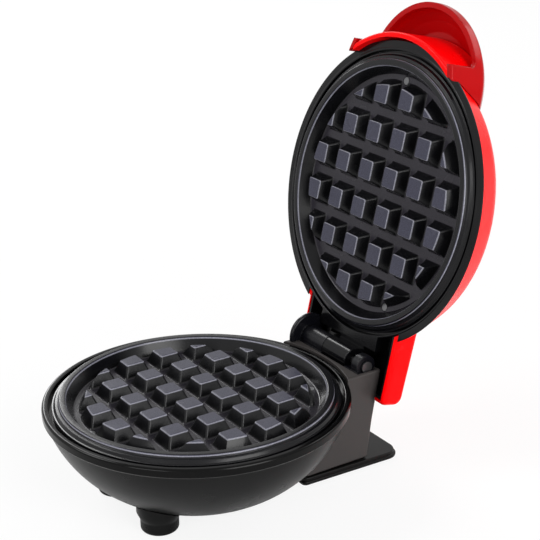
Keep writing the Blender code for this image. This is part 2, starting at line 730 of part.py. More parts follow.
def make_base_electrics(finishes, root):
    """Thermostat, thermal fuse, terminal block and the two leads in the bowl."""
    underside = RING_HEIGHT - RECESS_DEPTH - FLOOR_THICKNESS
    top = underside - FIT_GAP
    flange_bottom = top - THERMOSTAT_FLANGE_HEIGHT
    profile = [
        (0, top),
        (THERMOSTAT_FLANGE_RADIUS, top),
        (THERMOSTAT_FLANGE_RADIUS, flange_bottom),
        (THERMOSTAT_RADIUS, flange_bottom),
        (THERMOSTAT_RADIUS, top - THERMOSTAT_HEIGHT),
        (0, top - THERMOSTAT_HEIGHT),
    ]
    add_part("thermostat", turned(profile, SMALL_ROUND_STEPS), finishes["ceramic"], root)

    fuse = along_x(cylinder(FUSE_RADIUS, -FUSE_LENGTH / 2, FUSE_LENGTH / 2, SMALL_ROUND_STEPS // 2))
    fuse = moved(fuse, y=FUSE_PLACE_Y, z=top - FUSE_RADIUS)
    add_part("thermal_fuse", fuse, finishes["steel"], root)

    width, depth, height = TERMINAL_BLOCK_SIZE
    floor = BOWL_CLEARANCE + BOWL_WALL + FIT_GAP
    low = (-width / 2, TERMINAL_BLOCK_PLACE_Y - depth / 2, floor)
    high = (width / 2, TERMINAL_BLOCK_PLACE_Y + depth / 2, floor + height)
    block = add_part("terminal_block", box(low, high), finishes["ceramic"], root)
    soften(block, TERMINAL_EDGE)

    leg_end = RING_HEIGHT - RECESS_DEPTH - FLOOR_THICKNESS - FIT_GAP - 2 * HEATER_TUBE_RADIUS - HEATER_LEG
    lead_top = leg_end - FIT_GAP - FIT_GAP
    lead_bottom = floor + height + FIT_GAP
    for side, (x, y) in zip(("left", "right"), heater_leg_places()):
        drop = lead_top - lead_bottom
        end_x = math.copysign(width / 4, x)
        route = [
            (x, y, lead_top),
            (x, y, lead_top - drop / 6),
            (x, y - drop / 6, lead_top - drop / 3),
            (end_x, TERMINAL_BLOCK_PLACE_Y + drop / 4, lead_bottom + drop / 2),
            (end_x, TERMINAL_BLOCK_PLACE_Y, lead_bottom + drop / 4),
            (end_x, TERMINAL_BLOCK_PLACE_Y, lead_bottom),
        ]
        add_tube(f"heater_lead_{side}", route, LEAD_RADIUS, finishes["lead"], root, resolution=0)


def make_front_feet(finish, root):
    """Two round feet under the front of the bowl."""
    x, y = FOOT_PLACE
    top = bowl_height(math.hypot(x, y) + FOOT_COLLAR_RADIUS) + CUT_OVERRUN
    corners = [
        (0, 0, 0),
        (FOOT_RADIUS, 0, FOOT_EDGE_RADIUS),
        (FOOT_RADIUS, FOOT_STRAIGHT, 0),
        (FOOT_COLLAR_RADIUS, FOOT_COLLAR_HEIGHT, 0),
        (FOOT_COLLAR_RADIUS, top, 0),
        (0, top, 0),
    ]
    for side, name in ((-1, "front_foot_left"), (1, "front_foot_right")):
        foot = add_part(name, moved(turned(filleted(corners), SMALL_ROUND_STEPS), side * x, y), finish, root)
        bowl = add_tool(name + "_bowl", turned(bowl_profile(FIT_GAP, RING_HEIGHT)), root)
        combine(foot, "DIFFERENCE", bowl)


def stand_rear(inset):
    """The stand's rear line as (y, z) points from the bottom up."""
    bottom = FOOT_PLATE_LIFT + FOOT_PLATE_THICKNESS + FIT_GAP
    top = RING_HEIGHT + STAND_TOP_RISE
    return [
        (STAND_REAR_BOTTOM - inset, bottom),
        (STAND_REAR_MIDDLE - inset, STAND_MIDDLE_HEIGHT),
        (STAND_REAR_TOP - inset, top),
    ]


def make_rear_stand(finish, root):
    """The hollow stand behind the bowl: it carries the hinge and takes the wiring."""
    rear = stand_rear(0)
    bottom, top = rear[0][1], rear[-1][1]
    front = FOOT_PLATE_FRONT + STAND_WALL
    outline = [(front, bottom)] + rear + [(front, top)]
    block = along_x(extruded(outline, -STAND_HALF_WIDTH, STAND_HALF_WIDTH))
    stand = add_part("rear_stand", block, finish, root)
    soften(stand, STAND_EDGE)

    inner = stand_rear(STAND_WALL)
    roof = top - STAND_ROOF_DROP
    roof_share = (roof - STAND_MIDDLE_HEIGHT) / (top - STAND_MIDDLE_HEIGHT)
    roof_y = inner[1][0] + (inner[2][0] - inner[1][0]) * roof_share
    half = STAND_HALF_WIDTH - STAND_WALL
    mouth = bottom - CUT_OVERRUN
    cavity_outline = [(front, mouth), (inner[0][0], mouth), inner[0], inner[1], (roof_y, roof), (front, roof)]
    cavity = add_tool("stand_cavity", along_x(extruded(cavity_outline, -half, half)), root)
    bowl_wall = turned(bowl_profile(FIT_GAP + STAND_WALL, RING_HEIGHT + CUT_OVERRUN))
    bowl_wall = add_tool("stand_bowl_wall", bowl_wall, root)
    combine(cavity, "DIFFERENCE", bowl_wall)
    for number, (x, y) in enumerate(foot_screw_places(), 1):
        boss = moved(cylinder(STAND_BOSS_RADIUS, bottom - 2 * CUT_OVERRUN, bottom + STAND_BOSS_HEIGHT), x, y)
        combine(cavity, "DIFFERENCE", add_tool(f"stand_boss_{number}", boss, root))
    combine(stand, "DIFFERENCE", cavity)

    bowl = add_tool("stand_bowl", turned(bowl_profile(FIT_GAP, RING_HEIGHT + 2 * CUT_OVERRUN)), root)
    ring_bottom = RING_HEIGHT - RING_SKIRT - FIT_GAP
    ring = cylinder(RING_RADIUS + FIT_GAP, ring_bottom, top + CUT_OVERRUN, ROUND_STEPS)
    combine(stand, "DIFFERENCE", bowl, add_tool("stand_ring", ring, root))
    for number, (x, y) in enumerate(foot_screw_places(), 1):
        bore_end = bottom + FOOT_SCREW_LENGTH + FIT_GAP
        bore = moved(drill(SCREW_SHANK_RADIUS + FIT_GAP, bottom - CUT_OVERRUN, bore_end), x, y)
        combine(stand, "DIFFERENCE", add_tool(f"stand_bore_{number}", bore, root))
    combine(stand, "DIFFERENCE", add_tool("stand_wire_hole", wire_hole_shape(), root))

    pocket_low = (-HINGE_POCKET_HALF, HINGE_POCKET_FRONT, top - HINGE_POCKET_DEPTH)
    pocket_high = (HINGE_POCKET_HALF, STAND_REAR_TOP - STAND_WALL, top + CUT_OVERRUN)
    slot_low = (LID_KNUCKLE_START - FIT_GAP, HINGE_POCKET_FRONT, HINGE_HEIGHT - KNUCKLE_SLOT_DEPTH)
    slot_high = (LID_KNUCKLE_END + FIT_GAP, STAND_REAR_TOP + CUT_OVERRUN, top + CUT_OVERRUN)
    combine(stand, "DIFFERENCE", add_tool("stand_pocket", box(pocket_low, pocket_high), root))
    combine(stand, "DIFFERENCE", add_tool("stand_slot", box(slot_low, slot_high), root))
    for number, x in enumerate(BRACKET_SCREW_PLACES, 1):
        floor = top - HINGE_POCKET_DEPTH
        bore = drill(SCREW_SHANK_RADIUS + FIT_GAP, roof - CUT_OVERRUN, floor + CUT_OVERRUN)
        bore = moved(bore, x, BRACKET_SCREW_PLACE_Y)
        combine(stand, "DIFFERENCE", add_tool(f"stand_bracket_bore_{number}", bore, root))
    cord_hole = cylinder(CORD_BUSH_RADIUS + FIT_GAP, STAND_REAR_BOTTOM - 2 * STAND_WALL, STAND_REAR_TOP)
    cord_hole = moved(along_y(cord_hole), z=CORD_BUSH_HEIGHT)
    combine(stand, "DIFFERENCE", add_tool("stand_cord_hole", cord_hole, root))
    return stand


def foot_plate_outline(inset):
    """Plan of the foot plate, wider at the rear, with rounded corners."""
    front_half, rear_half = FOOT_PLATE_FRONT_HALF - inset, FOOT_PLATE_REAR_HALF - inset
    front, rear = FOOT_PLATE_FRONT + inset, FOOT_PLATE_REAR - inset
    corners = [
        (-front_half, front, FOOT_PLATE_FRONT_CORNER),
        (front_half, front, FOOT_PLATE_FRONT_CORNER),
        (rear_half, rear, FOOT_PLATE_REAR_CORNER - inset),
        (-rear_half, rear, FOOT_PLATE_REAR_CORNER - inset),
    ]
    return filleted(corners)


def make_foot_plate(finishes, root):
    """The flat foot under the stand, its four screws and its two rubber pads."""
    low = FOOT_PLATE_LIFT
    high = low + FOOT_PLATE_THICKNESS
    bead_top = low + FOOT_PLATE_BEAD_HEIGHT
    wide, narrow = foot_plate_outline(0), foot_plate_outline(FOOT_PLATE_BEAD)
    layers = [(wide, low), (wide, bead_top), (narrow, bead_top + FOOT_PLATE_BEAD / 4), (narrow, high)]
    plate = add_part("foot_plate", layered(layers), finishes["stand"], root)
    head_top = low + 2 * FIT_GAP + SCREW_HEAD_HEIGHT
    for number, (x, y) in enumerate(foot_screw_places(), 1):
        hole = moved(drill(SCREW_SHANK_RADIUS + FIT_GAP, low - CUT_OVERRUN, high + CUT_OVERRUN), x, y)
        recess = drill(SCREW_HEAD_RADIUS + FIT_GAP, low - CUT_OVERRUN, head_top, SMALL_ROUND_STEPS)
        recess = moved(recess, x, y)
        combine(plate, "DIFFERENCE", add_tool(f"foot_plate_hole_{number}", hole, root))
        combine(plate, "DIFFERENCE", add_tool(f"foot_plate_recess_{number}", recess, root))
        under = low + FIT_GAP
        profile = [
            (0, under),
            (SCREW_HEAD_RADIUS, under),
            (SCREW_HEAD_RADIUS, under + SCREW_HEAD_HEIGHT),
            (SCREW_SHANK_RADIUS, under + SCREW_HEAD_HEIGHT),
            (SCREW_SHANK_RADIUS, high + FOOT_SCREW_LENGTH),
            (0, high + FOOT_SCREW_LENGTH),
        ]
        screw = moved(turned(profile, SMALL_ROUND_STEPS), x, y)
        add_part(f"foot_plate_screw_{number}", screw, finishes["steel"], root)
    pad_x, pad_y = FOOT_PAD_PLACE
    for side, name in ((-1, "rear_foot_pad_left"), (1, "rear_foot_pad_right")):
        seat = cylinder(FOOT_PAD_RADIUS + FIT_GAP, -CUT_OVERRUN, FOOT_PAD_THICKNESS + FIT_GAP)
        seat = moved(seat, side * pad_x, pad_y)
        combine(plate, "DIFFERENCE", add_tool(name + "_seat", seat, root))
        pad = moved(cylinder(FOOT_PAD_RADIUS, 0, FOOT_PAD_THICKNESS), side * pad_x, pad_y)
        add_part(name, pad, finishes["rubber"], root)


def make_cord_bush(finish, root):
    """The bush in the stand's rear wall where the mains cord would enter."""
    lower, middle = stand_rear(0)[:2]
    share = (CORD_BUSH_HEIGHT - lower[1]) / (middle[1] - lower[1])
    wall = lower[0] + (middle[0] - lower[0]) * share
    flange = wall + CORD_BUSH_LEAN
    end = flange + CORD_BUSH_FLANGE
    profile = [
        (CORD_BUSH_BORE, wall - CORD_BUSH_DEPTH),
        (CORD_BUSH_RADIUS, wall - CORD_BUSH_DEPTH),
        (CORD_BUSH_RADIUS, flange),
        (CORD_BUSH_FLANGE_RADIUS, flange),
        (CORD_BUSH_FLANGE_RADIUS, end),
        (CORD_BUSH_BORE, end),
    ]
    bush = moved(along_y(turned(profile, SMALL_ROUND_STEPS)), z=CORD_BUSH_HEIGHT)
    add_part("cord_bush", bush, finish, root)


def hinge_bar(radius, start, end, steps=HALF_ROUND_STEPS):
    """A round bar on the hinge's axis."""
    return moved(along_x(cylinder(radius, start, end, steps)), y=HINGE_Y, z=HINGE_HEIGHT)


def make_hinge(finishes, root):
    """The bracket in the top of the stand, with two knuckles and a pivot cap, its screws and the pin."""
    top = RING_HEIGHT + STAND_TOP_RISE
    floor = top - HINGE_POCKET_DEPTH + FIT_GAP
    half = HINGE_POCKET_HALF - FIT_GAP
    front = HINGE_POCKET_FRONT + FIT_GAP
    rear = STAND_REAR_TOP - STAND_WALL - FIT_GAP
    block = box((-half, front, floor), (half, rear, top))
    bracket = add_part("hinge_bracket", block, finishes["black"], root)

    cap = hinge_bar(PIVOT_CAP_RADIUS, -half, PIVOT_CAP_END, ROUND_STEPS)
    cap = add_tool("pivot_cap", cap, root)
    reach = 2 * PIVOT_CAP_RADIUS
    cap_low = (-2 * half, HINGE_Y - reach, top - reach)
    cap_high = (half, HINGE_Y + reach, top + FIT_GAP)
    combine(cap, "DIFFERENCE", add_tool("pivot_cap_base", box(cap_low, cap_high), root))
    cap_foot = box((-half, front, top - CUT_OVERRUN), (PIVOT_CAP_END, rear, top + CUT_OVERRUN))
    combine(bracket, "UNION", add_tool("pivot_cap_foot", cap_foot, root), cap)
    for name, start, end in (("a", PIVOT_CAP_END, KNUCKLE_A_END), ("c", KNUCKLE_C_START, KNUCKLE_C_END)):
        combine(bracket, "UNION", add_tool(f"knuckle_{name}", hinge_bar(KNUCKLE_RADIUS, start, end), root))

    trim_low = (-2 * half, rear, floor - CUT_OVERRUN)
    trim_high = (2 * half, rear + reach, top + FIT_GAP - PIN_CLEARANCE)
    combine(bracket, "DIFFERENCE", add_tool("knuckle_trim", box(trim_low, trim_high), root))

    gap_low = (LID_KNUCKLE_START - FIT_GAP, front - CUT_OVERRUN, HINGE_HEIGHT - KNUCKLE_SLOT_DEPTH)
    gap_high = (LID_KNUCKLE_END + FIT_GAP, rear + CUT_OVERRUN, HINGE_HEIGHT + KNUCKLE_RADIUS + CUT_OVERRUN)
    combine(bracket, "DIFFERENCE", add_tool("knuckle_gap", box(gap_low, gap_high), root))
    bore_start = -half + STAND_WALL / 2
    head_start = KNUCKLE_C_END
    profile = [
        (0, bore_start),
        (HINGE_PIN_RADIUS + PIN_CLEARANCE, bore_start),
        (HINGE_PIN_RADIUS + PIN_CLEARANCE, head_start - FIT_GAP),
        (HINGE_PIN_HEAD_RADIUS + FIT_GAP, head_start - FIT_GAP),
        (HINGE_PIN_HEAD_RADIUS + FIT_GAP, half + CUT_OVERRUN),
        (0, half + CUT_OVERRUN),
    ]
    bore = moved(along_x(turned(profile, BORE_STEPS)), y=HINGE_Y, z=HINGE_HEIGHT)
    combine(bracket, "DIFFERENCE", add_tool("bracket_bore", bore, root))

    pin_start = bore_start + FIT_GAP
    profile = [
        (0, pin_start),
        (HINGE_PIN_RADIUS, pin_start),
        (HINGE_PIN_RADIUS, head_start),
        (HINGE_PIN_HEAD_RADIUS, head_start),
        (HINGE_PIN_HEAD_RADIUS, head_start + HINGE_PIN_HEAD),
        (0, head_start + HINGE_PIN_HEAD),
    ]
    pin = moved(along_x(turned(profile, BORE_STEPS)), y=HINGE_Y, z=HINGE_HEIGHT)
    add_part("hinge_pin", pin, finishes["steel"], root)

    roof = top - STAND_ROOF_DROP
    for number, x in enumerate(BRACKET_SCREW_PLACES, 1):
        head_bottom = roof - FIT_GAP - SCREW_HEAD_HEIGHT
        tip = head_bottom + BRACKET_SCREW_LENGTH
        bore = drill(SCREW_SHANK_RADIUS + FIT_GAP, floor - CUT_OVERRUN, tip + FIT_GAP)
        bore = moved(bore, x, BRACKET_SCREW_PLACE_Y)
        combine(bracket, "DIFFERENCE", add_tool(f"bracket_screw_bore_{number}", bore, root))
        profile = [
            (0, head_bottom),
            (SCREW_HEAD_RADIUS, head_bottom),
            (SCREW_HEAD_RADIUS, head_bottom + SCREW_HEAD_HEIGHT),
            (SCREW_SHANK_RADIUS, head_bottom + SCREW_HEAD_HEIGHT),
            (SCREW_SHANK_RADIUS, tip),
            (0, tip),
        ]
        screw = moved(turned(profile, SMALL_ROUND_STEPS), x, BRACKET_SCREW_PLACE_Y)
        add_part(f"hinge_bracket_screw_{number}", screw, finishes["steel"], root)


def dome_profile(offset, low):
    """The lid dome's outline above its ring plane, moved outward by offset, down to a rise of low."""
    lean = math.radians(FLANK_LEAN_DEGREES)
    flank_top_radius = LID_RADIUS - FLANK_HEIGHT * math.tan(lean)
    centre_radius = flank_top_radius - SHOULDER_RADIUS * math.cos(lean)
    centre_rise = FLANK_HEIGHT - SHOULDER_RADIUS * math.sin(lean)
    shoulder = SHOULDER_RADIUS + offset
    crown = math.radians(CROWN_START_DEGREES)
    start_radius = centre_radius + shoulder * math.cos(lean)
    start_rise = centre_rise + shoulder * math.sin(lean)
    low_radius = start_radius + (start_rise - low) * math.tan(lean)
    points = [(0, low), (low_radius, low)]
    steps = round((crown - lean) / PROFILE_ARC)
    for step in range(steps + 1):
        angle = lean + (crown - lean) * step / steps
        points.append((centre_radius + shoulder * math.cos(angle), centre_rise + shoulder * math.sin(angle)))
    crown_radius = points[-1][0] / math.cos(crown)
    crown_centre = points[-1][1] - crown_radius * math.sin(crown)
    for step in range(1, CROWN_STEPS + 1):
        angle = crown + (math.pi / 2 - crown) * step / CROWN_STEPS
        radius = 0 if step == CROWN_STEPS else crown_radius * math.cos(angle)
        points.append((radius, crown_centre + crown_radius * math.sin(angle)))
    return [(radius, LID_RING_HEIGHT + rise) for radius, rise in points]


def dome_height(radius, offset=0.0):
    """Height of the dome's skin at a radius, read from its outline."""
    outline = dome_profile(offset, 0)[1:]
    for (outer, low), (inner, high) in zip(outline, outline[1:]):
        if inner <= radius <= outer:
            return low + (high - low) * (outer - radius) / (outer - inner)
    return outline[-1][1]


def tail_shape(inset, low, top_inset, end_inset):
    """The boxy tail behind the dome as a prism along X with a rounded rear edge."""
    top_front = LID_RING_HEIGHT + TAIL_HEIGHT - top_inset
    top_rear = LID_RING_HEIGHT + TAIL_END_HEIGHT - top_inset
    end = TAIL_END - end_inset
    corners = [
        (TAIL_FRONT, low, 0),
        (end, low, 0),
        (end, top_rear, max(TAIL_END_RADIUS - inset, FIT_GAP)),
        (TAIL_FRONT, top_front, 0),
    ]
    half = TAIL_HALF_WIDTH - inset
    return along_x(extruded(filleted(corners), -half, half))


def chin_solid(radius, low, high):
    """The crescent at the lid's front: a disc about a point ahead of the plates' axis."""
    return moved(half_turned(cylinder(radius, low, high, ROUND_STEPS), ROUND_STEPS), y=CHIN_CENTRE_Y)


def make_lid_shell(finish, lid):
    """The red lid: dome, tail and chin in one thin moulding."""
    rim = LID_RING_HEIGHT + LID_RIM_LIFT
    shell = add_part("lid_shell", turned(dome_profile(0, LID_RIM_LIFT)), finish, lid)

    tail = add_tool("tail", tail_shape(0, LID_RING_HEIGHT, 0, 0), lid)
    soften(tail, TAIL_EDGE)
    chin_low = LID_RING_HEIGHT - CHIN_DROP
    chin_high = LID_RING_HEIGHT + CHIN_HEIGHT
    chin = add_tool("chin", chin_solid(CHIN_RADIUS, chin_low, chin_high), lid)
    soften(chin, CHIN_EDGE)
    behind_low = (-LID_RADIUS, CHIN_BACK, chin_low - CUT_OVERRUN)
    behind = box(behind_low, (LID_RADIUS, LID_RADIUS, chin_high + CUT_OVERRUN))
    combine(chin, "DIFFERENCE", add_tool("chin_behind", behind, lid))
    combine(chin, "INTERSECT", add_tool("chin_in_hood", handle_solid(-HANDLE_WALL - FIT_GAP), lid))
    combine(shell, "UNION", tail, chin)

    cavity = add_tool("lid_cavity", turned(dome_profile(-LID_WALL, -CHIN_DROP - CUT_OVERRUN)), lid)
    combine(cavity, "DIFFERENCE", *post_tools("lid", LID_RING_HEIGHT, -1, CHIN_RADIUS, lid))
    tail_cavity = tail_shape(LID_WALL, LID_RING_HEIGHT - CUT_OVERRUN, LID_WALL, LID_WALL)
    chin_recess = chin_solid(CHIN_RADIUS - CHIN_WALL, chin_low - CUT_OVERRUN, LID_RING_HEIGHT + CHIN_RECESS)
    chin_recess = add_tool("chin_recess", chin_recess, lid)
    dome = add_tool("chin_recess_dome", turned(dome_profile(0, LID_RIM_LIFT)), lid)
    combine(chin_recess, "DIFFERENCE", dome)
    combine(shell, "DIFFERENCE", cavity, add_tool("tail_cavity", tail_cavity, lid), chin_recess)

    notch_low = (-TAIL_NOTCH_HALF, TAIL_END - 2 * LID_WALL, LID_RING_HEIGHT - CUT_OVERRUN)
    notch_high = (TAIL_NOTCH_HALF, TAIL_END + CUT_OVERRUN, LID_RING_HEIGHT + TAIL_NOTCH_RISE)
    combine(shell, "DIFFERENCE", add_tool("tail_notch", box(notch_low, notch_high), lid))
    lens_hole = cylinder(LENS_RADIUS + FIT_GAP, rim, rim + CHIN_RADIUS)
    combine(shell, "DIFFERENCE", add_tool("lens_hole", moved(lens_hole, y=LENS_PLACE_Y), lid))
    return shell


def make_lid_liner(finish, lid):
    """The black liner: the ring round the upper plate, the tray in the tail and the lid's knuckle."""
    plane = LID_RING_HEIGHT
    gap = LID_WALL + FIT_GAP
    low = plane + TRAY_RIM_SETBACK
    liner = add_part("lid_liner", tail_shape(gap, low, gap, gap), finish, lid)

    wall = gap + TRAY_WALL
    hollow = tail_shape(wall, low - CUT_OVERRUN, gap + TRAY_FLOOR, wall)
    combine(liner, "DIFFERENCE", add_tool("tray_hollow", hollow, lid))
    notch_low = (-TAIL_NOTCH_HALF, STAND_REAR_TOP, low - CUT_OVERRUN)
    notch_high = (TAIL_NOTCH_HALF, TAIL_END, plane + TAIL_NOTCH_RISE)
    combine(liner, "DIFFERENCE", add_tool("tray_notch", box(notch_low, notch_high), lid))

    step_top = plane + TAIL_END_HEIGHT - gap - TRAY_FLOOR / 2
    step = box((-STEP_HALF_WIDTH, TAIL_FRONT, plane), (STEP_HALF_WIDTH, STEP_REAR, step_top))
    web_front = STEP_REAR - CUT_OVERRUN
    web = box((LID_KNUCKLE_START, web_front, plane), (LID_KNUCKLE_END, HINGE_Y + KNUCKLE_WEB_REAR, step_top))
    web_low = (LID_KNUCKLE_START, HINGE_Y - KNUCKLE_RADIUS, HINGE_HEIGHT)
    web_high = (LID_KNUCKLE_END, HINGE_Y + KNUCKLE_WEB_REAR, plane + FIT_GAP)
    knuckle = hinge_bar(KNUCKLE_RADIUS, LID_KNUCKLE_START, LID_KNUCKLE_END)
    combine(liner, "UNION", add_tool("liner_step", step, lid), add_tool("liner_web", web, lid))
    neck = add_tool("knuckle_neck", box(web_low, web_high), lid)
    combine(liner, "UNION", neck, add_tool("lid_knuckle", knuckle, lid))

    high = plane + TAIL_HEIGHT + CUT_OVERRUN
    ledge_top = plane + LEDGE_DROP + LEDGE_THICKNESS / 2
    room = [
        (0, plane - CUT_OVERRUN),
        (LINER_INNER_RADIUS + FIT_GAP, plane - CUT_OVERRUN),
        (LINER_INNER_RADIUS + FIT_GAP, ledge_top),
        (LEDGE_INNER_RADIUS + FIT_GAP, ledge_top),
        (LEDGE_INNER_RADIUS + FIT_GAP, high),
        (0, high),
    ]
    combine(liner, "DIFFERENCE", add_tool("liner_room", turned(room), lid))
    lean = math.tan(math.radians(FLANK_LEAN_DEGREES))
    outer_low = LINER_RADIUS - LINER_SKIRT * lean
    ring = ring_shape(
        plane,
        -1,
        LINER_RADIUS,
        outer_low,
        LINER_INNER_RADIUS,
        LINER_SKIRT,
        (outer_low - FIT_GAP, outer_low - FIT_GAP - TONGUE_LENGTH * lean),
        LINER_SKIRT + TONGUE_LENGTH,
    )
    combine(liner, "UNION", add_tool("liner_ring", ring, lid))
    bore_start, bore_end = LID_KNUCKLE_START - CUT_OVERRUN, LID_KNUCKLE_END + CUT_OVERRUN
    bore = hinge_bar(HINGE_PIN_RADIUS + PIN_CLEARANCE, bore_start, bore_end, BORE_STEPS)
    combine(liner, "DIFFERENCE", add_tool("lid_knuckle_bore", bore, lid))
    return liner


def handle_solid(offset):
    """The handle's rounded hood as a solid turned about its own centre, down to the lip's edge."""
    low = LID_RING_HEIGHT - CHIN_DROP
    if offset:
        low -= CUT_OVERRUN
    profile = [
        (0, low),
        (HANDLE_RADIUS + offset, low),
        (HANDLE_RADIUS + offset, LID_RING_HEIGHT + HANDLE_SIDE_HEIGHT),
        (HANDLE_SHOULDER_RADIUS + offset, LID_RING_HEIGHT + HANDLE_SHOULDER_HEIGHT + offset),
        (HANDLE_SHOULDER_RADIUS * HANDLE_CROWN_SHARE + offset, LID_RING_HEIGHT + HANDLE_TOP_HEIGHT + offset),
        (0, LID_RING_HEIGHT + HANDLE_TOP_HEIGHT + offset),
    ]
    return moved(half_turned(turned(profile), ROUND_STEPS), y=HANDLE_CENTRE_Y)


def crown_room(top):
    """Outline of the dome as the handle must clear it, run straight up from the handle's rear end."""
    skin = dome_profile(FIT_GAP, LID_RIM_LIFT - FIT_GAP)
    low = LID_RING_HEIGHT - CHIN_DROP - CUT_OVERRUN
    outline = [(0, low), (skin[1][0], low)]
    for here, following in zip(skin[1:], skin[2:]):
        if here[0] > HANDLE_END_RADIUS:
            outline.append(here)
        if here[0] > HANDLE_END_RADIUS >= following[0]:
            share = (here[0] - HANDLE_END_RADIUS) / (here[0] - following[0])
            outline.append((HANDLE_END_RADIUS, here[1] + share * (following[1] - here[1])))
    return outline + [(HANDLE_END_RADIUS, top), (0, top)]


def make_handle(finish, lid):
    """The hooded handle: a mouth for the fingers in front, and a cheek on either side of the lip."""
    handle = add_part("lid_handle", handle_solid(0), finish, lid)
    combine(handle, "DIFFERENCE", add_tool("handle_hollow", handle_solid(-HANDLE_WALL), lid))
    crown = add_tool("handle_crown", turned(crown_room(LID_RING_HEIGHT + LID_RADIUS)), lid)
    mouth_low = (-LID_RADIUS, -2 * LID_RADIUS, LID_RING_HEIGHT - CHIN_DROP - CUT_OVERRUN)
    mouth_high = (LID_RADIUS, HANDLE_CHEEK_SETBACK - LID_RADIUS, LID_RING_HEIGHT + HANDLE_RIM_HEIGHT)
    combine(handle, "DIFFERENCE", crown, add_tool("handle_mouth", box(mouth_low, mouth_high), lid))
    return handle


def make_indicator(finishes, lid):
    """The round lens in the crown of the lid and the lamp under it."""
    skin = dome_height(abs(LENS_PLACE_Y))
    top = skin + LENS_RISE
    bottom = skin - LENS_DEPTH
    corners = [(0, bottom, 0), (LENS_RADIUS, bottom, 0), (LENS_RADIUS, top, LENS_RISE / 2), (0, top, 0)]
    lens = moved(turned(filleted(corners), SMALL_ROUND_STEPS), y=LENS_PLACE_Y)
    add_part("indicator_lens", lens, finishes["lens"], lid)
    reflector = RECESS_DEPTH + FLOOR_THICKNESS + 2 * HEATER_TUBE_RADIUS + REFLECTOR_THICKNESS + 2 * FIT_GAP
    low = LID_RING_HEIGHT + reflector + FIT_GAP
    lamp = moved(cylinder(LAMP_RADIUS, low, bottom - FIT_GAP), y=LENS_PLACE_Y)
    add_part("indicator_lamp", lamp, finishes["lamp"], lid)


def centre_footprint(root):
    """Move the model so that the middle of its footprint is at the origin."""
    bpy.context.view_layer.update()
    depsgraph = bpy.context.evaluated_depsgraph_get()
    places = []
    for obj in bpy.data.objects:
        if obj.type == "EMPTY" or obj.hide_render:
            continue
        evaluated = obj.evaluated_get(depsgraph)
        places += [evaluated.matrix_world @ vert.co for vert in evaluated.to_mesh().vertices]
        evaluated.to_mesh_clear()
    for axis in (0, 1):
        values = [place[axis] for place in places]
        root.location[axis] = -(min(values) + max(values)) / 2


def build():
    """Make every part."""
    clear_scene()
    finishes = {
        "black": make_finish("black_plastic", (0.012, 0.012, 0.013), 0.28),
        "stand": make_finish("stand_plastic", (0.055, 0.050, 0.048), 0.45),
        "red": make_finish("red_plastic", (0.78, 0.004, 0.008), 0.18),
        "coating": make_finish("coated_cast_plate", (0.025, 0.025, 0.032), 0.35, 0.4),
        "heater": make_finish("heater_sheath", (0.33, 0.31, 0.29), 0.45, 1.0),
        "sheet": make_finish("reflector_sheet", (0.70, 0.70, 0.68), 0.35, 1.0),
        "steel": make_finish("plated_steel", (0.62, 0.62, 0.60), 0.30, 1.0),
        "ceramic": make_finish("ceramic", (0.80, 0.77, 0.70), 0.60),
        "lead": make_finish("lead_insulation", (0.75, 0.74, 0.70), 0.55),
        "rubber": make_finish("rubber", (0.020, 0.020, 0.020), 0.75),
        "lens": make_finish("lens_plastic", (0.75, 0.20, 0.03), 0.10),
        "lamp": make_finish("lamp_glass", (0.85, 0.55, 0.35), 0.15),
    }
    root = make_empty("base_frame")
    lid = make_empty("lid_hinge", (0.0, HINGE_Y, HINGE_HEIGHT), root)

    make_base_shell(finishes["black"], root)
    make_base_ring(finishes["black"], root)
    make_plate("lower_plate", RING_HEIGHT, 1, finishes["coating"], root)
    make_heater("lower_heating_element", RING_HEIGHT, 1, finishes["heater"], root)
    hole = THERMOSTAT_FLANGE_RADIUS + FIT_GAP
    make_reflector("lower_reflector", RING_HEIGHT, 1, finishes["sheet"], root, hole)
    make_base_electrics(finishes, root)
    make_front_feet(finishes["black"], root)
    make_rear_stand(finishes["stand"], root)
    make_foot_plate(finishes, root)
    make_cord_bush(finishes["rubber"], root)
    make_hinge(finishes, root)

    make_lid_shell(finishes["red"], lid)
    make_lid_liner(finishes["black"], lid)
    make_plate("upper_plate", LID_RING_HEIGHT, -1, finishes["coating"], lid)
    make_heater("upper_heating_element", LID_RING_HEIGHT, -1, finishes["heater"], lid)
    make_reflector("upper_reflector", LID_RING_HEIGHT, -1, finishes["sheet"], lid, SCREW_HEAD_RADIUS)
    make_handle(finishes["red"], lid)
    make_indicator(finishes, lid)
    for place, (x, y) in plate_screw_places().items():
        make_plate_screw(f"lower_plate_screw_{place}", x, y, RING_HEIGHT, 1, finishes["steel"], root)
        make_plate_screw(f"upper_plate_screw_{place}", x, y, LID_RING_HEIGHT, -1, finishes["steel"], lid)

    lid.rotation_euler.x = -math.radians(LID_OPEN_DEGREES)
    centre_footprint(root)


build()
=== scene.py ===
"""Looks of the mini waffle maker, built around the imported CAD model. Sizes are in metres."""

import json
import math

import bmesh
import bpy
from mathutils import Matrix, Vector


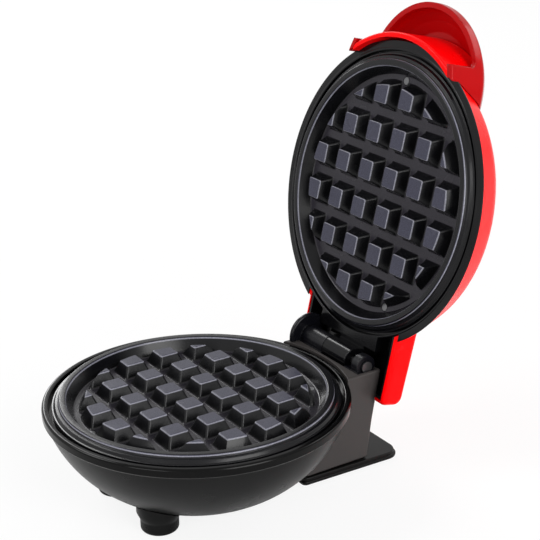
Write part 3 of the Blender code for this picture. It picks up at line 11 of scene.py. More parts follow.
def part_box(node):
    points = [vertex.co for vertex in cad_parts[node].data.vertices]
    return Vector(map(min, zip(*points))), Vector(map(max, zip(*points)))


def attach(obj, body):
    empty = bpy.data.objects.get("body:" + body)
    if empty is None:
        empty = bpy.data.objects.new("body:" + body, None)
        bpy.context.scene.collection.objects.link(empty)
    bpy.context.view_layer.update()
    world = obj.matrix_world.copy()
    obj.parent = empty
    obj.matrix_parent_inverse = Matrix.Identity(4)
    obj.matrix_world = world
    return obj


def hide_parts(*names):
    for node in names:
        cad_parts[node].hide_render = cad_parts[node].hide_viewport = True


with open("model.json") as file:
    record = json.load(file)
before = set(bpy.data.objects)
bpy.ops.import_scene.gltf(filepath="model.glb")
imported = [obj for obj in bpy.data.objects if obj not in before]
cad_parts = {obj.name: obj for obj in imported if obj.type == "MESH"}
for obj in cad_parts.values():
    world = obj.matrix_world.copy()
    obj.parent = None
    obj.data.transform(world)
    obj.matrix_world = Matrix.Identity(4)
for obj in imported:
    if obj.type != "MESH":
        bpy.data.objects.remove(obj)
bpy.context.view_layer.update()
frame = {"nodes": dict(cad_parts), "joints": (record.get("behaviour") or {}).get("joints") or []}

# Base shell
# The bowl under the lower plate is one injection moulding in black heat-resistant plastic with a
# soft gloss. It is a shallow round bowl with a flat bottom, and its top edge tucks under the ring.
MM = 0.001
ring_low, ring_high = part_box("base_ring")
PLATE_AXIS_Y = (ring_low.y + ring_high.y) / 2
RING_TOP = 43.5 * MM
RING_SKIRT = 4.3 * MM
SEAM = 0.3 * MM
WALL = 2.0 * MM
BOWL_STEPS = 160
BOWL_ARC_STEPS = 24
SHARP_DEGREES = 30
MERGE_DISTANCE = 0.001 * MM
FULL_WEIGHT = 100
GLOSS_SCALE = 60
GLOSS_DETAIL = 4
GLOSS_LOW, GLOSS_HIGH = 0.3, 0.7
SKIN_DETAIL = 2
SKIN_STRENGTH = 0.5
COAT_ROUGHNESS = 0.06
SOFT_EDGE_SAMPLES = 6
bowl_rim_height = RING_TOP - RING_SKIRT
bowl_rim_radius = 62.4 * MM
bowl_arc_radius = 52.8 * MM
bowl_arc_offset = 11.9 * MM
bowl_bottom = 4.0 * MM
bowl_rim_reach = bowl_rim_radius - bowl_arc_offset
bowl_arc_centre = bowl_rim_height + math.sqrt(bowl_arc_radius**2 - bowl_rim_reach**2)
bowl_colour = (0.0035, 0.0035, 0.0035)
place_on_base = Matrix.Translation((0, PLATE_AXIS_Y, 0))


def rounded(corners, degrees=15):
    """Points of a closed outline from (x, y, radius) corners, each radius cut into an arc."""
    points = []
    for index, (x, y, radius) in enumerate(corners):
        here = Vector((x, y))
        if radius == 0:
            points.append((x, y))
            continue
        before = (Vector(corners[index - 1][:2]) - here).normalized()
        after = (Vector(corners[(index + 1) % len(corners)][:2]) - here).normalized()
        half = before.angle(after) / 2
        middle = here + (before + after).normalized() * (radius / math.sin(half))
        start = here + before * (radius / math.tan(half)) - middle
        sweep = math.pi - 2 * half
        turn = math.copysign(sweep, -before.cross(after))
        steps = max(2, round(math.degrees(sweep) / degrees))
        for step in range(steps + 1):
            point = middle + Matrix.Rotation(turn * step / steps, 2) @ start
            points.append((point.x, point.y))
    return points


def spun(profile, steps=BOWL_STEPS):
    """A closed turned shape from a closed (radius, height) outline."""
    shape = bmesh.new()
    rings = []
    for radius, height in profile:
        count = 1 if radius == 0 else steps
        turns = (2 * math.pi * step / steps for step in range(count))
        rings.append([shape.verts.new((radius * math.cos(a), radius * math.sin(a), height)) for a in turns])
    for ring, following in zip(rings, rings[1:] + rings[:1]):
        if len(ring) == len(following) == 1:
            continue
        for step in range(steps):
            corners = []
            for part, index in ((ring, step), (ring, step + 1), (following, step + 1), (following, step)):
                vert = part[index % len(part)]
                if vert not in corners:
                    corners.append(vert)
            shape.faces.new(corners)
    bmesh.ops.recalc_face_normals(shape, faces=shape.faces)
    return shape


def raw_piece(name, shape, bevel=0.0, segments=3, angle=30):
    """A mesh object of a bmesh, before it is cut and placed, with an optional rounding of its edges."""
    mesh = bpy.data.meshes.new(name)
    shape.to_mesh(mesh)
    shape.free()
    piece = bpy.data.objects.new(name, mesh)
    bpy.context.scene.collection.objects.link(piece)
    if bevel:
        rounding = piece.modifiers.new("rounding", "BEVEL")
        rounding.width = bevel
        rounding.segments = segments
        rounding.limit_method = "ANGLE"
        rounding.angle_limit = math.radians(angle)
    return piece


def worked(piece, *steps):
    """Apply a piece's modifiers, then each ("CUT" | "ADD" | "KEEP", shape or piece); these are used up."""
    operations = {"CUT": "DIFFERENCE", "ADD": "UNION", "KEEP": "INTERSECT"}
    tools = []
    for word, tool in steps:
        if isinstance(tool, bmesh.types.BMesh):
            tool = raw_piece("tool", tool)
        tools.append(tool)
        boolean = piece.modifiers.new(word, "BOOLEAN")
        boolean.operation = operations[word]
        boolean.solver = "EXACT"
        boolean.object = tool
    bpy.context.view_layer.update()
    depsgraph = bpy.context.evaluated_depsgraph_get()
    mesh = bpy.data.meshes.new_from_object(piece.evaluated_get(depsgraph))
    piece.modifiers.clear()
    piece.data = mesh
    for tool in tools:
        bpy.data.objects.remove(tool)
    return piece


def settled(piece, place, body, nodes, finish, sharp=SHARP_DEGREES):
    """Put a finished piece in its place, shade it, give it its finish, parent it to its CAD body, and hide
    the CAD nodes it stands in for.
    """
    worked(piece)
    mesh = piece.data
    shape = bmesh.new()
    shape.from_mesh(mesh)
    bmesh.ops.remove_doubles(shape, verts=shape.verts, dist=MERGE_DISTANCE)
    shape.to_mesh(mesh)
    shape.free()
    mesh.transform(place)
    mesh.shade_smooth()
    mesh.set_sharp_from_angle(angle=math.radians(sharp))
    even = piece.modifiers.new("even_normals", "WEIGHTED_NORMAL")
    even.keep_sharp = True
    even.weight = FULL_WEIGHT
    mesh = worked(piece).data
    mesh.materials.clear()
    mesh.materials.append(finish)
    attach(piece, body)
    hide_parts(*nodes)
    return piece


def moulded(name, colour, roughness, grain, depth, spread=0.06, edge=0.0, level=0.5, coat=0.0):
    """A plastic or coated finish: uneven gloss, a fine moulded skin, and softened edges."""
    finish = bpy.data.materials.new(name)
    finish.use_nodes = True
    tree = finish.node_tree
    add, link = tree.nodes.new, tree.links.new
    shader = tree.nodes["Principled BSDF"]
    shader.inputs["Base Color"].default_value = (*colour, 1)
    shader.inputs["Specular IOR Level"].default_value = level
    shader.inputs["Coat Weight"].default_value = coat
    shader.inputs["Coat Roughness"].default_value = COAT_ROUGHNESS
    where = add("ShaderNodeTexCoord")
    cloud = add("ShaderNodeTexNoise")
    cloud.inputs["Scale"].default_value = GLOSS_SCALE
    cloud.inputs["Detail"].default_value = GLOSS_DETAIL
    gloss = add("ShaderNodeMapRange")
    gloss.inputs["From Min"].default_value = GLOSS_LOW
    gloss.inputs["From Max"].default_value = GLOSS_HIGH
    gloss.inputs["To Min"].default_value = roughness - spread
    gloss.inputs["To Max"].default_value = roughness + spread
    skin = add("ShaderNodeTexNoise")
    skin.inputs["Scale"].default_value = grain
    skin.inputs["Detail"].default_value = SKIN_DETAIL
    bump = add("ShaderNodeBump")
    bump.inputs["Strength"].default_value = SKIN_STRENGTH
    bump.inputs["Distance"].default_value = depth
    link(where.outputs["Object"], cloud.inputs["Vector"])
    link(where.outputs["Object"], skin.inputs["Vector"])
    link(cloud.outputs["Fac"], gloss.inputs["Value"])
    link(gloss.outputs["Result"], shader.inputs["Roughness"])
    link(skin.outputs["Fac"], bump.inputs["Height"])
    link(bump.outputs["Normal"], shader.inputs["Normal"])
    if edge:
        soft = add("ShaderNodeBevel")
        soft.samples = SOFT_EDGE_SAMPLES
        soft.inputs["Radius"].default_value = edge
        link(soft.outputs["Normal"], bump.inputs["Normal"])
    return finish


def bowl_line(offset):
    """The bowl's outer line moved outward, from the middle of its bottom to its rim."""
    radius = bowl_arc_radius + offset
    bottom = bowl_bottom - offset
    first = math.acos((bowl_arc_centre - bottom) / radius)
    last = math.acos((bowl_arc_centre - bowl_rim_height) / radius)
    line = [(0, bottom)]
    for step in range(BOWL_ARC_STEPS + 1):
        angle = first + (last - first) * step / BOWL_ARC_STEPS
        line.append((bowl_arc_offset + radius * math.sin(angle), bowl_arc_centre - radius * math.cos(angle)))
    return line


bowl_black = moulded(
    "bowl_black", bowl_colour, roughness=0.3, grain=2600, depth=0.02 * MM, spread=0.05, level=0.13
)
bowl_outline = bowl_line(0) + bowl_line(-WALL)[::-1]
base_shell = raw_piece("base_shell_moulding", spun(bowl_outline))
settled(base_shell, place_on_base, "base", ["base_shell"], bowl_black)


# Thermostat, fuse, terminal block and leads
# A ceramic thermostat and a thermal fuse in a steel case sit in the bowl. A ceramic terminal block
# joins the supply to two sleeved leads, which rise to the ends of the heater.
CAD_SHARP_DEGREES = 35
MARK_STRETCH = 12
ROUGHNESS_SPREAD = 0.1
plated_colour = (0.16, 0.16, 0.165)
ceramic_colour = (0.78, 0.75, 0.68)
sleeve_colour = (0.72, 0.70, 0.66)


def metal(name, colour, roughness, scratch):
    """A bare metal with fine marks along one direction."""
    finish = bpy.data.materials.new(name)
    finish.use_nodes = True
    tree = finish.node_tree
    add, link = tree.nodes.new, tree.links.new
    shader = tree.nodes["Principled BSDF"]
    shader.inputs["Base Color"].default_value = (*colour, 1)
    shader.inputs["Metallic"].default_value = 1
    where = add("ShaderNodeTexCoord")
    stretch = add("ShaderNodeMapping")
    stretch.inputs["Scale"].default_value = (1, 1, MARK_STRETCH)
    marks = add("ShaderNodeTexNoise")
    marks.inputs["Scale"].default_value = scratch
    gloss = add("ShaderNodeMapRange")
    gloss.inputs["To Min"].default_value = roughness - ROUGHNESS_SPREAD
    gloss.inputs["To Max"].default_value = roughness + ROUGHNESS_SPREAD
    link(where.outputs["Object"], stretch.inputs["Vector"])
    link(stretch.outputs["Vector"], marks.inputs["Vector"])
    link(marks.outputs["Fac"], gloss.inputs["Value"])
    link(gloss.outputs["Result"], shader.inputs["Roughness"])
    return finish


def dressed(finish, *nodes):
    """Give its finish to each CAD piece that keeps its own shape."""
    for node in nodes:
        mesh = frame["nodes"][node].data
        mesh.materials.clear()
        mesh.materials.append(finish)
        mesh.shade_smooth()
        mesh.set_sharp_from_angle(angle=math.radians(CAD_SHARP_DEGREES))


plated_steel = metal("plated_steel", plated_colour, roughness=0.35, scratch=900)
ceramic = moulded("ceramic_cream", ceramic_colour, roughness=0.6, grain=900, depth=0.05 * MM)
lead_sleeve = moulded("lead_sleeve", sleeve_colour, roughness=0.7, grain=1500, depth=0.1 * MM)
dressed(plated_steel, "thermal_fuse")
dressed(ceramic, "thermostat", "terminal_block")
dressed(lead_sleeve, "heater_lead_left", "heater_lead_right")


# Base ring
# The ring that seats the lower plate is a separate glossy black moulding. A rounded bead stands
# round its outside, a ledge inside carries the plate's rim, and a tongue locates it in the bowl.
RING_STEPS = 240
ring_outer = 63.5 * MM
ring_inner = 60.8 * MM
ring_shoulder = 4.0 * MM
ring_edge = 3.4 * MM
ring_edge_inset = 0.5 * MM
ring_edge_round = 0.4 * MM
bead_round = 1.1 * MM
mouth_round = 0.6 * MM
ledge_inner = 57.2 * MM
ledge_drop = 2.6 * MM
ledge_round = 0.2 * MM
tongue_outer = 58.6 * MM
tongue_root = 59.9 * MM
tongue_drop = 7.0 * MM
tongue_round = 0.3 * MM
ring_colour = (0.001, 0.001, 0.001)
ring_black = moulded(
    "ring_black", ring_colour, roughness=0.14, grain=1800, depth=0.01 * MM, spread=0.04, level=0.12
)
ring_outline = rounded(
    [
        (ring_outer - ring_edge_inset, RING_TOP - ring_shoulder, 0),
        (ring_outer, RING_TOP - ring_edge, ring_edge_round),
        (ring_outer, RING_TOP, bead_round),
        (ring_inner, RING_TOP, mouth_round),
        (ring_inner, RING_TOP - ledge_drop, ledge_round),
        (ledge_inner, RING_TOP - ledge_drop, ledge_round),
        (ledge_inner, RING_TOP - tongue_drop, tongue_round),
        (tongue_outer, RING_TOP - tongue_drop, tongue_round),
        (tongue_root, RING_TOP - ring_shoulder, 0),
    ]
)
base_ring = raw_piece("base_ring_moulding", spun(ring_outline, RING_STEPS))
settled(base_ring, place_on_base, "base", ["base_ring"], ring_black)


# Cooking plates
# Both plates are the same aluminium casting with a dark non-stick coating. Tapered square studs
# stand in rows on a sunk floor inside a raised lip, and a round taper cuts off the outermost ones.
STUD_PITCH = 16.56 * MM
STUD_ROWS = 6
CORNER_SHARE = 0.68
PLATE_STEPS = 192
COARSE_ARC = 22.5
PLATE_SHARP_DEGREES = 35
stud_foot = 12.7 * MM
stud_top = 7.9 * MM
stud_top_spread = 0.45 * MM
stud_root_corner = 1.0 * MM
stud_top_corner = 0.7 * MM
floor_drop = 3.2 * MM
stud_rise = 2.3 * MM
# Each stud's flared root as (rise above the floor, spread past its foot), then its soft top edge as
# (drop below the top, inset), both in millimetres.
stud_root = ((-1.0, 0.9), (-0.05, 0.7), (0.25, 0.1), (0.8, -0.7))
stud_edge = ((0.55, 0.0), (0.28, 0.08), (0.08, 0.26), (0.0, 0.5))
lip_rise = 2.6 * MM
floor_radius = 50.6 * MM
floor_round = 0.8 * MM
lip_inner = 53.9 * MM
lip_inner_round = 0.55 * MM
lip_outer = 56.4 * MM
lip_outer_round = 0.7 * MM
shelf_inner = 56.7 * MM
shelf_inner_rise = 1.1 * MM
shelf_inner_round = 0.35 * MM
shelf_outer = 57.9 * MM
shelf_outer_rise = 0.85 * MM
rim_root = 58.6 * MM
rim_root_drop = 0.3 * MM
rim_root_round = 0.2 * MM
rim_top_drop = 0.4 * MM
rim_bottom_drop = 2.3 * MM
rim_round = 0.15 * MM
rim_inner = 54.6 * MM
casting_foot = 52.0 * MM
casting_drop = 5.4 * MM
plate_radius = 59.3 * MM
stud_trim_top = 45.5 * MM
stud_trim_foot = 47.9 * MM
trim_flare = 0.9 * MM
trim_root = 0.3 * MM
trim_crest = 0.18 * MM
trim_shoulder = 0.4 * MM
trim_edge = 0.25 * MM
trim_edge_drop = 0.02 * MM
trim_under = 0.5 * MM
trim_over = 1.0 * MM
trim_crown = 1.5 * MM
SCREW_STEPS = 32
SCREW_BORE = 1.3 * MM
SCREW_HEAD_ROOM = 1.9 * MM
screw_head = 1.6 * MM
screw_head_depth = 1.5 * MM
screw_bore_reach = 8 * MM
screw_reach = floor_radius - screw_head - 2 * SEAM
plate_screws = [(0, -screw_reach), (STUD_PITCH, math.sqrt(screw_reach**2 - STUD_PITCH**2))]
coating_colour = (0.01, 0.01, 0.013)
# The coating's colours by height, with painted light in them: painted highlight on the floor, on the band
# round the studs' top edges and on the stud tops, and painted shade on the steep sides and the lip; as
# (height above the plate's ring plane in millimetres, colour).
TONE_REACH = 4
coating_painted_light = (
    (-3.25, (0.020, 0.018, 0.024)),
    (-3.0, (0.014, 0.0125, 0.016)),
    (-2.7, (0.0025, 0.0025, 0.003)),
    (1.6, (0.0025, 0.0025, 0.0035)),
    (1.9, (0.22, 0.22, 0.26)),
    (2.1, (0.22, 0.22, 0.26)),
    (2.24, (0.036, 0.036, 0.056)),
    (2.34, (0.036, 0.036, 0.056)),
    (2.42, (0.004, 0.004, 0.005)),
)
SPECK_SCALE = 3200
SPECK_LOW, SPECK_HIGH = 0.3, 0.75
SPECK_DARKEST, SPECK_LIGHTEST = 0.65, 1.5


def stacked(layers):
    """A closed solid through outlines of equal length, given as (points, height)."""
    shape = bmesh.new()
    rings = [[shape.verts.new((x, y, height)) for x, y in outline] for outline, height in layers]
    shape.faces.new(rings[0])
    shape.faces.new(rings[-1])
    for ring, following in zip(rings, rings[1:]):
        for index in range(len(ring)):
            after = (index + 1) % len(ring)
            shape.faces.new((ring[index], ring[after], following[after], following[index]))
    bmesh.ops.recalc_face_normals(shape, faces=shape.faces)
    return shape


def square(side, corner):
    """A square outline with rounded corners."""
    half = side / 2
    signs = ((-1, -1), (1, -1), (1, 1), (-1, 1))
    return rounded([(x * half, y * half, corner) for x, y in signs], COARSE_ARC)


def stud_model(ring_plane, up):
    """One stud: flared at its root, tapered, and softly rounded round its top."""
    layers = []
    for rise, spread in stud_root:
        layers.append((square(stud_foot + spread * MM, stud_root_corner), rise * MM - floor_drop))
    for drop, inset in stud_edge:
        side = stud_top + stud_top_spread - 2 * inset * MM
        layers.append((square(side, stud_top_corner), stud_rise - drop * MM))
    return stacked([(outline, ring_plane + up * height) for outline, height in layers])


def stud_pattern():
    """A node tree that sets the stud on every place of the lattice except its corners."""
    tree = bpy.data.node_groups.new("stud_lattice", "GeometryNodeTree")
    tree.interface.new_socket("Geometry", in_out="INPUT", socket_type="NodeSocketGeometry")
    for label in ("Pitch", "Corner reach"):
        tree.interface.new_socket(label, in_out="INPUT", socket_type="NodeSocketFloat")
    tree.interface.new_socket("Rows", in_out="INPUT", socket_type="NodeSocketInt")
    tree.interface.new_socket("Coating", in_out="INPUT", socket_type="NodeSocketMaterial")
    tree.interface.new_socket("Geometry", in_out="OUTPUT", socket_type="NodeSocketGeometry")
    add, link = tree.nodes.new, tree.links.new
    given, made = add("NodeGroupInput"), add("NodeGroupOutput")
    gaps = add("ShaderNodeMath")
    gaps.operation = "SUBTRACT"
    gaps.inputs[1].default_value = 1
    width = add("ShaderNodeMath")
    width.operation = "MULTIPLY"
    grid = add("GeometryNodeMeshGrid")
    place = add("GeometryNodeInputPosition")
    length = add("ShaderNodeVectorMath")
    far = add("FunctionNodeCompare")
    length.operation = "LENGTH"
    far.operation = "GREATER_THAN"
    drop, copy = add("GeometryNodeDeleteGeometry"), add("GeometryNodeInstanceOnPoints")
    real, coat = add("GeometryNodeRealizeInstances"), add("GeometryNodeSetMaterial")
    link(given.outputs["Rows"], gaps.inputs[0])
    link(gaps.outputs[0], width.inputs[0])
    link(given.outputs["Pitch"], width.inputs[1])
    for socket in ("Size X", "Size Y"):
        link(width.outputs[0], grid.inputs[socket])
    for socket in ("Vertices X", "Vertices Y"):
        link(given.outputs["Rows"], grid.inputs[socket])
    link(place.outputs[0], length.inputs[0])
    link(length.outputs["Value"], far.inputs["A"])
    link(given.outputs["Corner reach"], far.inputs["B"])
    link(grid.outputs["Mesh"], drop.inputs["Geometry"])
    link(far.outputs["Result"], drop.inputs["Selection"])
    link(drop.outputs["Geometry"], copy.inputs["Points"])
    link(given.outputs["Geometry"], copy.inputs["Instance"])
    link(copy.outputs["Instances"], real.inputs["Geometry"])
    link(real.outputs["Geometry"], coat.inputs["Geometry"])
    link(given.outputs["Coating"], coat.inputs["Material"])
    link(coat.outputs["Geometry"], made.inputs["Geometry"])
    return tree


def screw_room(bore_end, shoulder, head_end):
    """The stepped hole of a sunk screw: a narrow bore, then room for its head."""
    line = [
        (0, bore_end),
        (SCREW_BORE, bore_end),
        (SCREW_BORE, shoulder),
        (SCREW_HEAD_ROOM, shoulder),
        (SCREW_HEAD_ROOM, head_end),
        (0, head_end),
    ]
    return spun(line, SCREW_STEPS)


def nonstick(name, ring_plane, up, place):
    """The plates' non-stick coating: painted shade on steep faces, painted highlight on the flats and edges.
    """
    finish = moulded(
        name, coating_colour, roughness=0.24, grain=1500,
        depth=0.03 * MM, spread=0.05, edge=0.2 * MM, level=0.22,
    )
    tree = finish.node_tree
    add, link = tree.nodes.new, tree.links.new
    shader = tree.nodes["Principled BSDF"]
    where = tree.nodes["Texture Coordinate"]
    axis = (place.to_3x3() @ Vector((0, 0, up))).normalized()
    along = add("ShaderNodeVectorMath")
    along.operation = "DOT_PRODUCT"
    along.inputs[1].default_value = axis
    depth = add("ShaderNodeMapRange")
    ring_level = axis.dot(place @ Vector((0, 0, ring_plane)))
    depth.inputs["From Min"].default_value = ring_level - TONE_REACH * MM
    depth.inputs["From Max"].default_value = ring_level + TONE_REACH * MM
    # Painted highlight and painted shade, set by height along the plate's axis from the table of coating
    # colours.
    painted_light_tones = add("ShaderNodeValToRGB")
    ramp = painted_light_tones.color_ramp
    while len(ramp.elements) < len(coating_painted_light):
        ramp.elements.new(0.5)
    for element, (rise, colour) in zip(ramp.elements, coating_painted_light):
        element.position = (rise + TONE_REACH) / (2 * TONE_REACH)
        element.color = (*colour, 1)
    speck = add("ShaderNodeTexNoise")
    speck.inputs["Scale"].default_value = SPECK_SCALE
    share = add("ShaderNodeMapRange")
    share.inputs["From Min"].default_value = SPECK_LOW
    share.inputs["From Max"].default_value = SPECK_HIGH
    share.inputs["To Min"].default_value = SPECK_DARKEST
    share.inputs["To Max"].default_value = SPECK_LIGHTEST
    tint = add("ShaderNodeVectorMath")
    tint.operation = "SCALE"
    link(where.outputs["Object"], along.inputs[0])
    link(along.outputs["Value"], depth.inputs["Value"])
    link(depth.outputs["Result"], painted_light_tones.inputs["Fac"])
    link(where.outputs["Object"], speck.inputs["Vector"])
    link(speck.outputs["Fac"], share.inputs["Value"])
    link(painted_light_tones.outputs["Color"], tint.inputs[0])
    link(share.outputs["Result"], tint.inputs["Scale"])
    link(tint.outputs["Vector"], shader.inputs["Base Color"])
    return finish


lattice = stud_pattern()
lattice_inputs = {}
for item in lattice.interface.items_tree:
    if item.in_out == "INPUT":
        lattice_inputs[item.name] = item.identifier


def cooking_plate(name, node, ring_plane, up, place, body):
    """One plate: the turned casting, its trimmed studs, and the two countersunk screw seats."""
    coating = nonstick(name + "_coating", ring_plane, up, place)
    outline = rounded(
        [
            (0, -floor_drop, 0),
            (floor_radius, -floor_drop, floor_round),
            (lip_inner, lip_rise, lip_inner_round),
            (lip_outer, lip_rise, lip_outer_round),
            (shelf_inner, shelf_inner_rise, shelf_inner_round),
            (shelf_outer, shelf_outer_rise, rim_root_round),
            (rim_root, -rim_root_drop, rim_root_round),
            (plate_radius, -rim_top_drop, rim_round),
            (plate_radius, -rim_bottom_drop, rim_round),
            (rim_inner, -rim_bottom_drop, 0),
            (casting_foot, -casting_drop, 0),
            (0, -casting_drop, 0),
        ],
        COARSE_ARC,
    )
    stud_trim = [
        (0, -floor_drop - trim_under),
        (stud_trim_foot + trim_flare, -floor_drop - trim_under),
        (stud_trim_foot + trim_root, -floor_drop + trim_shoulder),
        (stud_trim_top + trim_crest, stud_rise - trim_shoulder),
        (stud_trim_top - trim_edge, stud_rise - trim_edge_drop),
        (stud_trim_top - trim_crown, stud_rise + trim_over),
        (0, stud_rise + trim_over),
    ]

    def turned(line):
        return spun([(radius, ring_plane + up * height) for radius, height in line], PLATE_STEPS)

    plate = raw_piece(name, turned(outline))
    studs = raw_piece(name + "_studs", stud_model(ring_plane, up))
    repeat = studs.modifiers.new("lattice", "NODES")
    repeat.node_group = lattice
    repeat[lattice_inputs["Pitch"]] = STUD_PITCH
    repeat[lattice_inputs["Corner reach"]] = STUD_PITCH * (STUD_ROWS - 1) * CORNER_SHARE
    repeat[lattice_inputs["Rows"]] = STUD_ROWS
    repeat[lattice_inputs["Coating"]] = coating
    worked(studs)
    worked(studs, ("KEEP", turned(stud_trim)))
    seats = []
    for x, y in plate_screws:
        low = ring_plane - up * (floor_drop + screw_bore_reach)
        under = ring_plane - up * (floor_drop + screw_head_depth)
        seat = screw_room(low, under, ring_plane)
        seat.transform(Matrix.Translation((x, y, 0)))
        seats.append(("CUT", seat))
    worked(plate, ("ADD", studs), *seats)
    return settled(plate, place, body, [node], coating, PLATE_SHARP_DEGREES)


cooking_plate("lower_plate_casting", "lower_plate", RING_TOP, 1, place_on_base, "base")


# Lower heater
# A tubular heater with a metal sheath lies against the back of the lower plate. A bright sheet under
# it throws the heat upward, and two plated screws hold the plate down from above.
sheath_colour = (0.30, 0.28, 0.26)
reflector_colour = (0.70, 0.70, 0.68)
heater_sheath = metal("heater_sheath", sheath_colour, roughness=0.45, scratch=500)
reflector_sheet = metal("reflector_sheet", reflector_colour, roughness=0.3, scratch=400)
dressed(heater_sheath, "lower_heating_element")
dressed(reflector_sheet, "lower_reflector")
dressed(plated_steel, "lower_plate_screw_front", "lower_plate_screw_rear")


# Front feet
# Two short round feet are moulded in black plastic and carry the front of the bowl. Each flares a
# little where it meets the bowl, and its lower edge is rounded.
FOOT_STEPS = 64
FINE_ARC = 10
foot_radius = 7.8 * MM
foot_bottom_round = 1.6 * MM
foot_waist_height = 5.2 * MM
foot_waist_round = 3.0 * MM
foot_flare_radius = 9.2 * MM
foot_flare_height = 8.4 * MM
foot_height = 24.0 * MM
foot_half_spread = 18.6 * MM
foot_y = -29.8 * MM
foot_outline = rounded(
    [
        (0, 0, 0),
        (foot_radius, 0, foot_bottom_round),
        (foot_radius, foot_waist_height, foot_waist_round),
        (foot_flare_radius, foot_flare_height, 0),
        (foot_flare_radius, foot_height, 0),
        (0, foot_height, 0),
    ],
    FINE_ARC,
)
for side, name in ((-1, "front_foot_left"), (1, "front_foot_right")):
    foot_shape = spun(foot_outline, FOOT_STEPS)
    foot_shape.transform(Matrix.Translation((side * foot_half_spread, foot_y, 0)))
    foot = raw_piece(name + "_moulding", foot_shape)
    bowl_room = bowl_line(SEAM) + [(bowl_rim_radius, RING_TOP), (0, RING_TOP)]
    worked(foot, ("CUT", spun(bowl_room)))
    settled(foot, place_on_base, "base", [name], bowl_black)


# Rear stand
# The stand behind the bowl is one hollow charcoal moulding with flat sides. It takes the wiring,
# hugs the bowl and the ring, and has a pocket and a slot in its top for the hinge.
HINGE_Y = frame["joints"][0]["pos_m"][1] - PLATE_AXIS_Y
HINGE_Z = frame["joints"][0]["pos_m"][2]
CUT_TOP = 60 * MM
stand_half = 24.3 * MM
stand_top = RING_TOP + 0.5 * MM
stand_bottom = 3.8 * MM
stand_front = 38 * MM
stand_rear_bottom = 69.8 * MM
stand_waist_y = 72.2 * MM
stand_waist_z = 21.0 * MM
stand_waist_round = 30 * MM
stand_rear_top = 76.6 * MM
stand_edge_round = 1.0 * MM
stand_edge_steps = 4
stand_arc = 3
bowl_space_top = RING_TOP + 5 * MM
ring_space_radius = 63.8 * MM
pocket_half = 23 * MM
pocket_front = 65 * MM
pocket_rear = 74.6 * MM
pocket_depth = 10 * MM
gap_left = -4.6 * MM
gap_right = 12.6 * MM
gap_rear = 80 * MM
gap_drop = 7.8 * MM
cord_hole_radius = 5.2 * MM
cord_hole_height = 14 * MM
cord_hole_front = 60 * MM
cord_hole_rear = 90 * MM
CORD_HOLE_STEPS = 48
stand_colour = (0.038, 0.034, 0.033)


def along_x(shape):
    """Lay a shape drawn as (Y, Z) outlines so that its heights run along X."""
    shape.transform(Matrix(((0, 0, 1, 0), (1, 0, 0, 0), (0, 1, 0, 0), (0, 0, 0, 1))))
    return shape


def along_y(shape):
    """Lay a turned shape so that its heights run along Y."""
    shape.transform(Matrix(((0, 1, 0, 0), (0, 0, 1, 0), (1, 0, 0, 0), (0, 0, 0, 1))))
    return shape


def block(low, high):
    """A plain cutter between two corners."""
    outline = [(low[0], low[1]), (high[0], low[1]), (high[0], high[1]), (low[0], high[1])]
    return stacked([(outline, low[2]), (outline, high[2])])


def drum(radius, low, high, steps):
    """A plain round solid about the vertical axis."""
    return spun([(0, low), (radius, low), (radius, high), (0, high)], steps)


stand_charcoal = moulded(
    "stand_charcoal", stand_colour, roughness=0.42, grain=2200,
    depth=0.03 * MM, spread=0.05, edge=0.35 * MM, level=0.25,
)
stand_outline = rounded(
    [
        (stand_front, stand_bottom, 0),
        (stand_rear_bottom, stand_bottom, 0),
        (stand_waist_y, stand_waist_z, stand_waist_round),
        (stand_rear_top, stand_top, 0),
        (stand_front, stand_top, 0),
    ],
    stand_arc,
)
stand_shape = along_x(stacked([(stand_outline, -stand_half), (stand_outline, stand_half)]))
stand = raw_piece("rear_stand_moulding", stand_shape, stand_edge_round, stand_edge_steps)
bowl_space = bowl_line(SEAM) + [(bowl_rim_radius + SEAM, bowl_space_top), (0, bowl_space_top)]
ring_space = drum(ring_space_radius, bowl_rim_height, CUT_TOP, BOWL_STEPS)
pocket = block(
    (-pocket_half, pocket_front, stand_top - pocket_depth),
    (pocket_half, pocket_rear, CUT_TOP),
)
slot = block((gap_left, pocket_front, HINGE_Z - gap_drop), (gap_right, gap_rear, CUT_TOP))
cord_hole = along_y(drum(cord_hole_radius, cord_hole_front, cord_hole_rear, CORD_HOLE_STEPS))
cord_hole.transform(Matrix.Translation((0, 0, cord_hole_height)))
worked(
    stand,
    ("CUT", spun(bowl_space)),
    ("CUT", ring_space),
    ("CUT", pocket),
    ("CUT", slot),
    ("CUT", cord_hole),
)
settled(stand, place_on_base, "base", ["rear_stand"], stand_charcoal)


# Cord bush and foot pads
# A rubber bush lines the hole where the supply enters the stand. Two round rubber pads are pressed
# into seats in the foot plate and keep the appliance from sliding.
rubber_colour = (0.018, 0.018, 0.018)
rubber = moulded("bush_rubber", rubber_colour, roughness=0.65, grain=1200, depth=0.05 * MM)
dressed(rubber, "cord_bush", "rear_foot_pad_left", "rear_foot_pad_right")


# Foot plate
# The flat foot under the stand is a black plastic moulding. It widens to the rear, has rounded
# corners and a low bead round its edge, and four screws hold it to the stand.
foot_plate_front_half = 25.2 * MM
foot_plate_rear_half = 26.8 * MM
foot_plate_front = 36.0 * MM
foot_plate_rear = 86.5 * MM
foot_plate_front_round = 2.0 * MM
foot_plate_rear_round = 6.0 * MM
foot_plate_arc = 9
foot_screw_half = 15 * MM
foot_screw_front = 50 * MM
foot_screw_rear = 65.2 * MM
foot_screw_head_depth = 2.3 * MM
foot_screw_reach = 5 * MM
pad_half = 16.5 * MM
pad_y = 78.5 * MM
pad_seat_radius = 4.8 * MM
pad_seat_depth = 1.8 * MM
PAD_STEPS = 48
foot_colour = (0.004, 0.0037, 0.0035)
